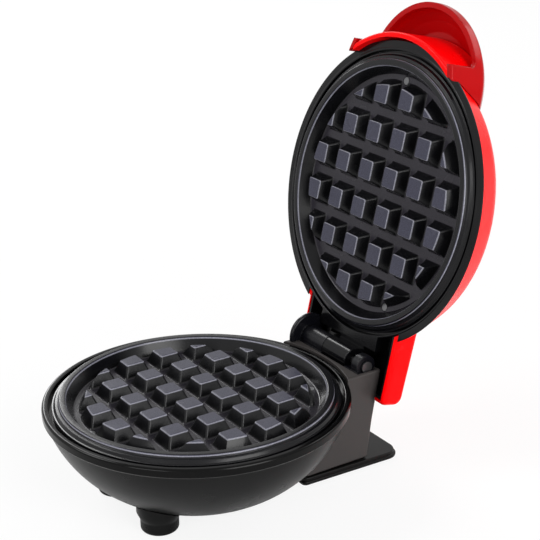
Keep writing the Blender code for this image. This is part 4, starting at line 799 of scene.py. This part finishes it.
# The plate's edge from its underside to its top, as (inset, height) in millimetres.
foot_plate_edge = (
    (0.4, 0.5),
    (0.1, 0.6),
    (0.0, 0.9),
    (0.0, 1.6),
    (0.15, 1.85),
    (0.55, 1.95),
    (0.65, 2.05),
    (0.65, 3.1),
    (0.8, 3.35),
    (1.15, 3.5),
)


def foot_outline_at(inset):
    """Plan of the foot plate, moved inward."""
    front_half, rear_half = foot_plate_front_half - inset, foot_plate_rear_half - inset
    front, rear = foot_plate_front + inset, foot_plate_rear - inset
    return rounded(
        [
            (-front_half, front, foot_plate_front_round),
            (front_half, front, foot_plate_front_round),
            (rear_half, rear, foot_plate_rear_round),
            (-rear_half, rear, foot_plate_rear_round),
        ],
        foot_plate_arc,
    )


foot_layers = [(foot_outline_at(inset * MM), height * MM) for inset, height in foot_plate_edge]
foot_plate = raw_piece("foot_plate_moulding", stacked(foot_layers))
foot_cuts = []
for y in (foot_screw_front, foot_screw_rear):
    for x in (-foot_screw_half, foot_screw_half):
        hole = screw_room(foot_screw_reach, foot_screw_head_depth, 0)
        hole.transform(Matrix.Translation((x, y, 0)))
        foot_cuts.append(("CUT", hole))
for x in (-pad_half, pad_half):
    pad_seat = drum(pad_seat_radius, 0, pad_seat_depth, PAD_STEPS)
    pad_seat.transform(Matrix.Translation((x, pad_y, 0)))
    foot_cuts.append(("CUT", pad_seat))
worked(foot_plate, *foot_cuts)
foot_black = moulded(
    "foot_black", foot_colour, roughness=0.32, grain=2200, depth=0.03 * MM, spread=0.05, level=0.15
)
settled(foot_plate, place_on_base, "base", ["foot_plate"], foot_black)
dressed(plated_steel, *(f"foot_plate_screw_{number}" for number in range(1, 5)))


# Hinge bracket
# The bracket sits in the stand's top pocket. It is black plastic, with a large rounded cap at its
# left end, one long knuckle and one short one, and a gap between them for the lid's knuckle.
FAR = 100 * MM
CAP_STEPS = 96
BORE_STEPS = 24
bracket_half = 22.7 * MM
bracket_front = 65.3 * MM
bracket_rear = 74.3 * MM
bracket_depth = 9.7 * MM
bracket_round = 0.3 * MM
bracket_round_steps = 2
knuckle_radius = 4.9 * MM
knuckle_start = -21.5 * MM
short_knuckle_start = 17.0 * MM
short_knuckle_end = 21.2 * MM
cap_radius = 9.9 * MM
cap_end = -20.4 * MM
cap_round = 0.9 * MM
cap_foot_overlap = 2 * MM
rear_trim_rise = 0.2 * MM
rear_trim_low = 30 * MM
rear_trim_half = 50 * MM
rear_trim_rear = 95 * MM
cap_room_half = 40 * MM
gap_front = 60 * MM
pin_bore_radius = 1.6 * MM
pin_bore_start = -21.7 * MM
pin_relief_radius = 2.9 * MM
pin_relief_start = 20.9 * MM
pin_bore_end = 30 * MM
bore_round = 0.1 * MM
hinge_colour = (0.003, 0.003, 0.0045)


def bar(radius, start, end, bevel=0.35 * MM, steps=64):
    """A round bar on the hinge's axis with softened ends."""
    outline = rounded([(0, start, 0), (radius, start, bevel), (radius, end, bevel), (0, end, 0)], COARSE_ARC)
    shape = along_x(spun(outline, steps))
    shape.transform(Matrix.Translation((0, HINGE_Y, HINGE_Z)))
    return shape


hinge_black = moulded(
    "hinge_black", hinge_colour, roughness=0.27, grain=1800,
    depth=0.02 * MM, spread=0.05, edge=0.3 * MM, level=0.18,
)
bracket_block = block(
    (-bracket_half, bracket_front, stand_top - bracket_depth),
    (bracket_half, bracket_rear, stand_top),
)
bracket = raw_piece("hinge_bracket_moulding", bracket_block, bracket_round, bracket_round_steps)
cap = raw_piece("cap", bar(cap_radius, -bracket_half, cap_end, cap_round, CAP_STEPS))
cap_floor = block((-cap_room_half, cap_room_half, 0), (cap_room_half, FAR, stand_top + SEAM))
worked(cap, ("CUT", cap_floor))
cap_foot = block(
    (-bracket_half, bracket_front, stand_top - cap_foot_overlap),
    (cap_end, bracket_rear, stand_top + cap_foot_overlap),
)
rear_trim = block(
    (-rear_trim_half, bracket_rear, rear_trim_low),
    (rear_trim_half, rear_trim_rear, stand_top + rear_trim_rise),
)
knuckle_gap = block((gap_left, gap_front, HINGE_Z - gap_drop), (gap_right, gap_rear, CUT_TOP))
pin_bore = bar(pin_bore_radius, pin_bore_start, pin_bore_end, bore_round, BORE_STEPS)
pin_relief = bar(pin_relief_radius, pin_relief_start, pin_bore_end, bore_round, BORE_STEPS)
short_knuckle = bar(knuckle_radius, short_knuckle_start, short_knuckle_end)
worked(
    bracket,
    ("ADD", cap_foot),
    ("ADD", cap),
    ("ADD", bar(knuckle_radius, knuckle_start, gap_left)),
    ("ADD", short_knuckle),
    ("CUT", rear_trim),
    ("CUT", knuckle_gap),
    ("CUT", pin_bore),
    ("CUT", pin_relief),
)
settled(bracket, place_on_base, "base", ["hinge_bracket"], hinge_black)


# Hinge pin and bracket screws
# A plated steel pin runs through the bracket's knuckles and the lid's, and turns freely in them. Two
# screws hold the bracket down in its pocket.
dressed(plated_steel, "hinge_pin", "hinge_bracket_screw_1", "hinge_bracket_screw_2")


# Lid shell
# The red lid is one thin glossy moulding: a low round dome, a boxy tail that reaches over the hinge,
# and a crescent lip at the front whose hollow shows black between it and the liner.
LID_PLANE = RING_TOP + 6.0 * MM
LID_STEPS = 192
LIP_STEPS = 190
DOME_KEEP_STEPS = 188
HOOD_STEPS = 160
SHOULDER_STEPS = 14
CROWN_STEPS = 12
LENS_STEPS = 64
hinge_point = Vector((0, HINGE_Y + PLATE_AXIS_Y, HINGE_Z))
lid_open = math.radians(frame["joints"][0]["range_deg"][1])
place_on_lid = (
    Matrix.Translation(hinge_point)
    @ Matrix.Rotation(-lid_open, 4, "X")
    @ Matrix.Translation(-hinge_point)
    @ place_on_base
)
lid_radius = 64.3 * MM
lid_edge = 0.6 * MM
flank_lean = math.radians(25)
flank_rise = 10.5 * MM
crown_start = math.radians(80)
shoulder_radius = 15.0 * MM
below_lid = 2 * MM
cavity_reach = 5.5 * MM
tail_half = 32.3 * MM
tail_front = 30 * MM
tail_end = 84.7 * MM
tail_rear_rise = 10.8 * MM
tail_front_rise = 12.0 * MM
tail_round = 4.0 * MM
tail_edge_round = 2.4 * MM
tail_edge_steps = 5
tail_notch_half = 26.2 * MM
tail_notch_depth = 4 * MM
tail_notch_overrun = 2 * MM
tail_notch_rise = 3.6 * MM
chin_radius = 56.0 * MM
chin_centre = -11.7 * MM
chin_drop = 3.5 * MM
chin_wall = 2.2 * MM
chin_roof = 2.6 * MM
chin_round = 1.0 * MM
chin_clear = 2.7 * MM
chin_hollow_clear = 2.6 * MM
chin_cut_half = 80 * MM
chin_cut_front = -40 * MM
dome_keep = 0.02 * MM
hood_centre = -46.4 * MM
hood_radius = 35.5 * MM
hood_side_rise = 14 * MM
hood_shoulder_radius = 31.0 * MM
hood_shoulder_rise = 18.8 * MM
hood_top_radius = 26.4 * MM
hood_foot_round = 0.9 * MM
hood_round = 3.0 * MM
handle_top = 20.6 * MM
chin_under_top = 3.0 * MM
chin_top = LID_PLANE + handle_top - chin_under_top
chin_low = LID_PLANE - chin_drop
lens_hole_radius = 4.1 * MM
lens_y = -15 * MM
lid_colour = (0.93, 0.0, 0.001)


def dome_line(offset, low):
    """The dome's outline above the lid's plane, moved outward, with its foot at a rise of low."""
    lean = Vector((math.cos(flank_lean), math.sin(flank_lean)))
    flank_top = lid_radius - flank_rise * math.tan(flank_lean)
    centre = Vector((flank_top, flank_rise)) - shoulder_radius * lean
    reach = shoulder_radius + offset
    start = centre + reach * lean
    line = [(0, low), (start.x + (start.y - low) * math.tan(flank_lean), low)]
    for step in range(SHOULDER_STEPS + 1):
        angle = flank_lean + (crown_start - flank_lean) * step / SHOULDER_STEPS
        line.append((centre.x + reach * math.cos(angle), centre.y + reach * math.sin(angle)))
    crown_radius = line[-1][0] / math.cos(crown_start)
    crown_low = line[-1][1] - crown_radius * math.sin(crown_start)
    for step in range(1, CROWN_STEPS + 1):
        angle = crown_start + (math.pi / 2 - crown_start) * step / CROWN_STEPS
        radius = 0 if step == CROWN_STEPS else crown_radius * math.cos(angle)
        line.append((radius, crown_low + crown_radius * math.sin(angle)))
    return [(radius, LID_PLANE + rise) for radius, rise in line]


def tail_block(inset, low, top_inset):
    """The tail as a block along X, with a rounded rear edge."""
    corners = [
        (tail_front, low, 0),
        (tail_end - inset, low, 0),
        (tail_end - inset, LID_PLANE + tail_rear_rise - top_inset, max(tail_round - inset, SEAM)),
        (tail_front, LID_PLANE + tail_front_rise - top_inset, 0),
    ]
    outline = rounded(corners)
    return along_x(stacked([(outline, inset - tail_half), (outline, tail_half - inset)]))


def crescent(radius, low, high):
    """A disc about the crescent lip's own centre, turned half a step off the other round cuts."""
    shape = drum(radius, low, high, LIP_STEPS)
    half_step = Matrix.Rotation(math.pi / LIP_STEPS, 4, "Z")
    shape.transform(Matrix.Translation((0, chin_centre, 0)) @ half_step)
    return shape


def hood(offset):
    """The handle's hood as a solid about its own centre; a moved one also runs out below it."""
    low = chin_low - below_lid if offset else chin_low
    corners = [
        (0, low, 0),
        (hood_radius + offset, low, 0 if offset else hood_foot_round),
        (hood_radius + offset, LID_PLANE + hood_side_rise, hood_round),
        (hood_shoulder_radius + offset, LID_PLANE + hood_shoulder_rise + offset, hood_round),
        (hood_top_radius + offset, LID_PLANE + handle_top + offset, hood_round),
        (0, LID_PLANE + handle_top + offset, 0),
    ]
    shape = spun(rounded(corners, FINE_ARC), HOOD_STEPS)
    half_step = Matrix.Rotation(math.pi / HOOD_STEPS, 4, "Z")
    shape.transform(Matrix.Translation((0, hood_centre, 0)) @ half_step)
    return shape


lid_red = moulded(
    "lid_red", lid_colour, roughness=0.24, grain=1200,
    depth=0.01 * MM, spread=0.04, edge=0.45 * MM, level=0.08,
)
lid_shell = raw_piece("lid_shell_moulding", spun(dome_line(0, lid_edge), LID_STEPS))
tail = raw_piece("tail", tail_block(0, LID_PLANE, 0), tail_edge_round, tail_edge_steps)
chin = raw_piece("chin", crescent(chin_radius, chin_low, chin_top), chin_round)
chin_back = block(
    (-chin_cut_half, chin_cut_front, chin_low - below_lid),
    (chin_cut_half, chin_cut_half, chin_top + below_lid),
)
worked(
    chin,
    ("CUT", chin_back),
    ("KEEP", hood(-chin_clear)),
)
chin_hollow_shape = crescent(chin_radius - chin_wall, chin_low - below_lid, chin_top - chin_roof)
chin_hollow = raw_piece("chin_hollow", chin_hollow_shape)
worked(
    chin_hollow,
    ("KEEP", hood(-chin_hollow_clear)),
    ("CUT", spun(dome_line(dome_keep, lid_edge), DOME_KEEP_STEPS)),
)
tail_notch = block(
    (-tail_notch_half, tail_end - tail_notch_depth, LID_PLANE - below_lid),
    (tail_notch_half, tail_end + tail_notch_overrun, LID_PLANE + tail_notch_rise),
)
lens_hole = drum(lens_hole_radius, LID_PLANE, FAR, LENS_STEPS)
lens_hole.transform(Matrix.Translation((0, lens_y, 0)))
worked(
    lid_shell,
    ("ADD", tail),
    ("ADD", chin),
    ("CUT", spun(dome_line(-WALL, -cavity_reach), LID_STEPS)),
    ("CUT", tail_block(WALL, LID_PLANE - below_lid, WALL)),
    ("CUT", chin_hollow),
    ("CUT", tail_notch),
    ("CUT", lens_hole),
)
settled(lid_shell, place_on_lid, "lid", ["lid_shell"], lid_red)


# Indicator
# An amber plastic lens is pressed into a hole in the lid's top, and a small glass lamp sits behind it
# and glows while the plates heat up.
lens_colour = (0.75, 0.16, 0.02)
lamp_colour = (0.80, 0.50, 0.30)
lens_amber = moulded(
    "lens_amber", lens_colour, roughness=0.12, grain=900, depth=0.01 * MM, spread=0.02, coat=0.5
)
lamp_glass = moulded("lamp_glass", lamp_colour, roughness=0.12, grain=900, depth=0.01 * MM, spread=0.02)
dressed(lens_amber, "indicator_lens")
dressed(lamp_glass, "indicator_lamp")


# Lid liner
# The black liner inside the lid holds the upper plate. Its ring shows round the plate, its tray
# lines the tail so that the inside of the tail is black, and the lid's knuckle is part of it.
FLANGE_STEPS = 236
liner_outer = 61.9 * MM
liner_outer_round = 0.5 * MM
liner_inner = 60.3 * MM
liner_inner_round = 0.4 * MM
liner_ledge_round = 0.15 * MM
skirt_rise = 3.4 * MM
liner_shoulder = 4.0 * MM
liner_shoulder_radius = 60.0 * MM
liner_top = 6.4 * MM
tray_side = 2.3 * MM
tray_low = 0.5 * MM
tray_inner_side = 3.5 * MM
tray_inner_top = 3.8 * MM
step_rise = 7.75 * MM
step_half = 20 * MM
step_rear = 64.5 * MM
knuckle_low = -4.3 * MM
knuckle_high = 12.3 * MM
web_front = 62.5 * MM
web_past_hinge = 4 * MM
room_ledge = 3.3 * MM
room_top = 14 * MM
lid_bore_start = -10 * MM
lid_bore_end = 16 * MM
flange_inner = 60.6 * MM
flange_outer = 64.4 * MM
flange_low = 0.1 * MM
flange_edge = 0.2 * MM
flange_top = 0.5 * MM
tail_room_rear = 80 * MM
liner_colour = (0.002, 0.002, 0.0025)
liner = raw_piece("lid_liner_moulding", tail_block(tray_side, LID_PLANE + tray_low, tray_side))
tray_hollow = tail_block(tray_inner_side, LID_PLANE - below_lid, tray_inner_top)
tray_notch = block(
    (-tail_notch_half, stand_rear_top, LID_PLANE - below_lid),
    (tail_notch_half, FAR, LID_PLANE + tail_notch_rise),
)
step_top = LID_PLANE + step_rise
liner_step = block((-step_half, tail_front, LID_PLANE), (step_half, step_rear, step_top))
web = block((knuckle_low, web_front, LID_PLANE), (knuckle_high, HINGE_Y + web_past_hinge, step_top))
neck = block(
    (knuckle_low, HINGE_Y - knuckle_radius, HINGE_Z),
    (knuckle_high, HINGE_Y + web_past_hinge, LID_PLANE + SEAM),
)
room = [
    (0, LID_PLANE - below_lid),
    (liner_inner + SEAM, LID_PLANE - below_lid),
    (liner_inner + SEAM, LID_PLANE + room_ledge),
    (ledge_inner + SEAM, LID_PLANE + room_ledge),
    (ledge_inner + SEAM, LID_PLANE + room_top),
    (0, LID_PLANE + room_top),
]
liner_outline = rounded(
    [
        (liner_outer - skirt_rise * math.tan(flank_lean), LID_PLANE + skirt_rise, 0),
        (liner_outer, LID_PLANE, liner_outer_round),
        (liner_inner, LID_PLANE, liner_inner_round),
        (liner_inner, LID_PLANE + ledge_drop, liner_ledge_round),
        (ledge_inner, LID_PLANE + ledge_drop, liner_ledge_round),
        (ledge_inner, LID_PLANE + liner_top, 0),
        (tongue_outer, LID_PLANE + liner_top, 0),
        (liner_shoulder_radius, LID_PLANE + liner_shoulder, 0),
    ]
)
lid_bore = bar(pin_bore_radius, lid_bore_start, lid_bore_end, bore_round, BORE_STEPS)
worked(
    liner,
    ("CUT", tray_hollow),
    ("CUT", tray_notch),
    ("ADD", liner_step),
    ("ADD", web),
    ("ADD", neck),
    ("ADD", bar(knuckle_radius, knuckle_low, knuckle_high)),
    ("CUT", spun(room, LID_STEPS)),
    ("ADD", spun(liner_outline, RING_STEPS)),
    ("CUT", lid_bore),
)
flange_outline = [
    (flange_inner, LID_PLANE + flange_low),
    (flange_outer - flange_edge, LID_PLANE + flange_low),
    (flange_outer, LID_PLANE + flange_edge),
    (flange_outer, LID_PLANE + flange_top),
    (flange_inner, LID_PLANE + flange_top),
]
flange = raw_piece("flange", spun(flange_outline, FLANGE_STEPS))
tail_room = block(
    (-tail_half - SEAM, 0, LID_PLANE - below_lid),
    (tail_half + SEAM, tail_room_rear, LID_PLANE + below_lid),
)
worked(flange, ("CUT", tail_room))
worked(liner, ("ADD", flange))
liner_black = moulded(
    "liner_black", liner_colour, roughness=0.18, grain=1800,
    depth=0.02 * MM, spread=0.04, edge=0.25 * MM, level=0.18,
)
settled(liner, place_on_lid, "lid", ["lid_liner"], liner_black)


# Upper heater
# The lid has its own tubular heater, with a bright sheet above it that throws the heat down. Two
# plated screws hold the upper plate against it.
dressed(heater_sheath, "upper_heating_element")
dressed(reflector_sheet, "upper_reflector")
dressed(plated_steel, "upper_plate_screw_front", "upper_plate_screw_rear")


# Upper plate
# The second aluminium casting, the same as the lower one and coated alike, faces it from the lid. It
# seats on the ledge of the liner's ring.
cooking_plate("upper_plate_casting", "upper_plate", LID_PLANE, -1, place_on_lid, "lid")


# Handle
# The red handle is a separate moulding: a rounded hood over the lip, hollow underneath so that the
# fingertips fit between it and the lip. It ends against the dome's shoulder.
handle_end = 45.5 * MM
handle_wall = 2.4 * MM
crown_top = 120 * MM
mouth_front = -120 * MM
mouth_back = -60.5 * MM
mouth_drop = 6 * MM
mouth_rise = 10 * MM
mouth_corner = 2.0 * MM
mouth_half = 60 * MM
# Painted shade: the handle's red is far darker than the lid's red, standing in for the shade in its hollow
# hood and mouth.
handle_shaded_colour = (0.36, 0.001, 0.002)
handle = raw_piece("lid_handle_moulding", hood(0))
dome_skin = dome_line(SEAM, SEAM)
crown_room = [(0, LID_PLANE - cavity_reach), (dome_skin[1][0], LID_PLANE - cavity_reach)]
crown_room += [point for point in dome_skin[1:] if point[0] > handle_end]
crown_room += [(handle_end, crown_room[-1][1] + SEAM), (handle_end, crown_top), (0, crown_top)]
mouth_outline = rounded(
    [
        (mouth_front, LID_PLANE - mouth_drop, 0),
        (mouth_back, LID_PLANE - mouth_drop, 0),
        (mouth_back, LID_PLANE + mouth_rise, mouth_corner),
        (mouth_front, LID_PLANE + mouth_rise, 0),
    ]
)
mouth = along_x(stacked([(mouth_outline, -mouth_half), (mouth_outline, mouth_half)]))
worked(
    handle,
    ("CUT", mouth),
    ("CUT", hood(-handle_wall)),
    ("CUT", spun(crown_room, LIP_STEPS)),
)
handle_shaded_red = moulded(
    "handle_shaded_red", handle_shaded_colour, roughness=0.2, grain=1200,
    depth=0.01 * MM, spread=0.04, edge=0.45 * MM, level=0.1,
)
settled(handle, place_on_lid, "lid", ["lid_handle"], handle_shaded_red)


# Studio
# A plain pale floor and soft lamps; the camera stands where the photograph was taken from.
FLOOR_HALF = 6
FLOOR_TONE = 0.86
FLOOR_ROUGHNESS = 0.9
FLOOR_SHINE = 0.1
GLOW_SHARE = 0.86
SKY_DIM, SKY_SEEN = 0.3, 1.0
WHITE = (1, 1, 1, 1)
lamp_aim = Vector((0, 0, 80 * MM))
# Each lamp's name, place, size and power.
lamps = (
    ("key_lamp", (-0.9, -1.3, 1.5), (0.9, 0.9), 22),
    ("side_lamp", (1.6, 0.1, 0.7), (0.9, 1.2), 26),
    ("front_lamp", (0.7, -1.5, 0.5), (0.8, 0.5), 8),
    ("back_lamp", (0.2, 1.6, 1.2), (1.2, 0.6), 10),
    ("rim_lamp", (-1.4, 0.3, 0.8), (0.25, 1.0), 8),
)
PHOTO_SIDE = 540
PHOTO_MIDDLE = PHOTO_SIDE / 2
PHOTO_FOCAL = 1415.062
PHOTO_CENTRE_X = 269.128
PHOTO_CENTRE_Y = 308.801
SENSOR_WIDTH = 36
camera_azimuth = math.radians(57.176)
camera_elevation = math.radians(22.606)
camera_roll = -0.014822
camera_reach = 576.715 * MM
camera_aim_x = 9.195 * MM
camera_aim_y = 30 * MM
camera_aim_rise = 34.234 * MM


def plain_light(name, place, size, power):
    """A soft white rectangular lamp that points at the middle of the appliance."""
    data = bpy.data.lights.new(name, "AREA")
    data.shape = "RECTANGLE"
    data.size, data.size_y = size
    data.energy = power
    lamp = bpy.data.objects.new(name, data)
    lamp.location = place
    lamp.rotation_euler = (lamp_aim - Vector(place)).to_track_quat("-Z", "Y").to_euler()
    bpy.context.scene.collection.objects.link(lamp)


floor_shape = bmesh.new()
bmesh.ops.create_grid(floor_shape, x_segments=1, y_segments=1, size=FLOOR_HALF)
studio_floor = raw_piece("studio_floor", floor_shape)
floor_finish = bpy.data.materials.new("floor_white")
floor_finish.use_nodes = True
floor_tree = floor_finish.node_tree
add, link = floor_tree.nodes.new, floor_tree.links.new
floor_shader = floor_tree.nodes["Principled BSDF"]
floor_shader.inputs["Base Color"].default_value = (FLOOR_TONE, FLOOR_TONE, FLOOR_TONE, 1)
floor_shader.inputs["Roughness"].default_value = FLOOR_ROUGHNESS
floor_shader.inputs["Specular IOR Level"].default_value = FLOOR_SHINE
floor_glow = add("ShaderNodeEmission")
floor_glow.inputs["Color"].default_value = WHITE
floor_glow.inputs["Strength"].default_value = 1
floor_mix = add("ShaderNodeMixShader")
floor_path = add("ShaderNodeLightPath")
floor_share = add("ShaderNodeMath")
floor_share.operation = "MULTIPLY"
floor_share.inputs[1].default_value = GLOW_SHARE
link(floor_path.outputs["Is Camera Ray"], floor_share.inputs[0])
link(floor_share.outputs[0], floor_mix.inputs["Fac"])
link(floor_shader.outputs[0], floor_mix.inputs[1])
link(floor_glow.outputs[0], floor_mix.inputs[2])
link(floor_mix.outputs[0], floor_tree.nodes["Material Output"].inputs["Surface"])
studio_floor.data.materials.append(floor_finish)

world = bpy.data.worlds.new("studio_white")
bpy.context.scene.world = world
world.use_nodes = True
world_tree = world.node_tree
add, link = world_tree.nodes.new, world_tree.links.new
sky = world_tree.nodes["Background"]
sky.inputs["Color"].default_value = WHITE
sky_path = add("ShaderNodeLightPath")
sky_seen = add("ShaderNodeMath")
sky_seen.operation = "MAXIMUM"
sky_seen_more = add("ShaderNodeMath")
sky_seen_more.operation = "MAXIMUM"
sky_level = add("ShaderNodeMapRange")
sky_level.inputs["To Min"].default_value = SKY_DIM
sky_level.inputs["To Max"].default_value = SKY_SEEN
link(sky_path.outputs["Is Camera Ray"], sky_seen.inputs[0])
link(sky_path.outputs["Is Glossy Ray"], sky_seen.inputs[1])
link(sky_seen.outputs[0], sky_seen_more.inputs[0])
link(sky_path.outputs["Is Transmission Ray"], sky_seen_more.inputs[1])
link(sky_seen_more.outputs[0], sky_level.inputs["Value"])
link(sky_level.outputs["Result"], sky.inputs["Strength"])

for name, place, size, power in lamps:
    plain_light(name, place, size, power)

camera_target = Vector((camera_aim_x, PLATE_AXIS_Y + camera_aim_y, RING_TOP + camera_aim_rise))
camera_back = Vector(
    (
        math.sin(camera_azimuth) * math.cos(camera_elevation),
        -math.cos(camera_azimuth) * math.cos(camera_elevation),
        math.sin(camera_elevation),
    )
)
camera_right = Vector((math.cos(camera_azimuth), math.sin(camera_azimuth), 0))
camera_up = camera_back.cross(camera_right)
tilted_right = camera_right * math.cos(camera_roll) + camera_up * math.sin(camera_roll)
tilted_up = camera_up * math.cos(camera_roll) - camera_right * math.sin(camera_roll)
camera_data = bpy.data.cameras.new("photo_camera")
camera_data.sensor_width = SENSOR_WIDTH
camera_data.lens = PHOTO_FOCAL / PHOTO_SIDE * SENSOR_WIDTH
camera_data.shift_x = (PHOTO_MIDDLE - PHOTO_CENTRE_X) / PHOTO_SIDE
camera_data.shift_y = (PHOTO_CENTRE_Y - PHOTO_MIDDLE) / PHOTO_SIDE
camera = bpy.data.objects.new("photo_camera", camera_data)
camera_frame = Matrix((tilted_right, tilted_up, camera_back)).transposed().to_4x4()
camera.matrix_world = Matrix.Translation(camera_target + camera_back * camera_reach) @ camera_frame
bpy.context.scene.collection.objects.link(camera)
bpy.context.scene.camera = camera
bpy.context.scene.view_settings.view_transform = "Standard"
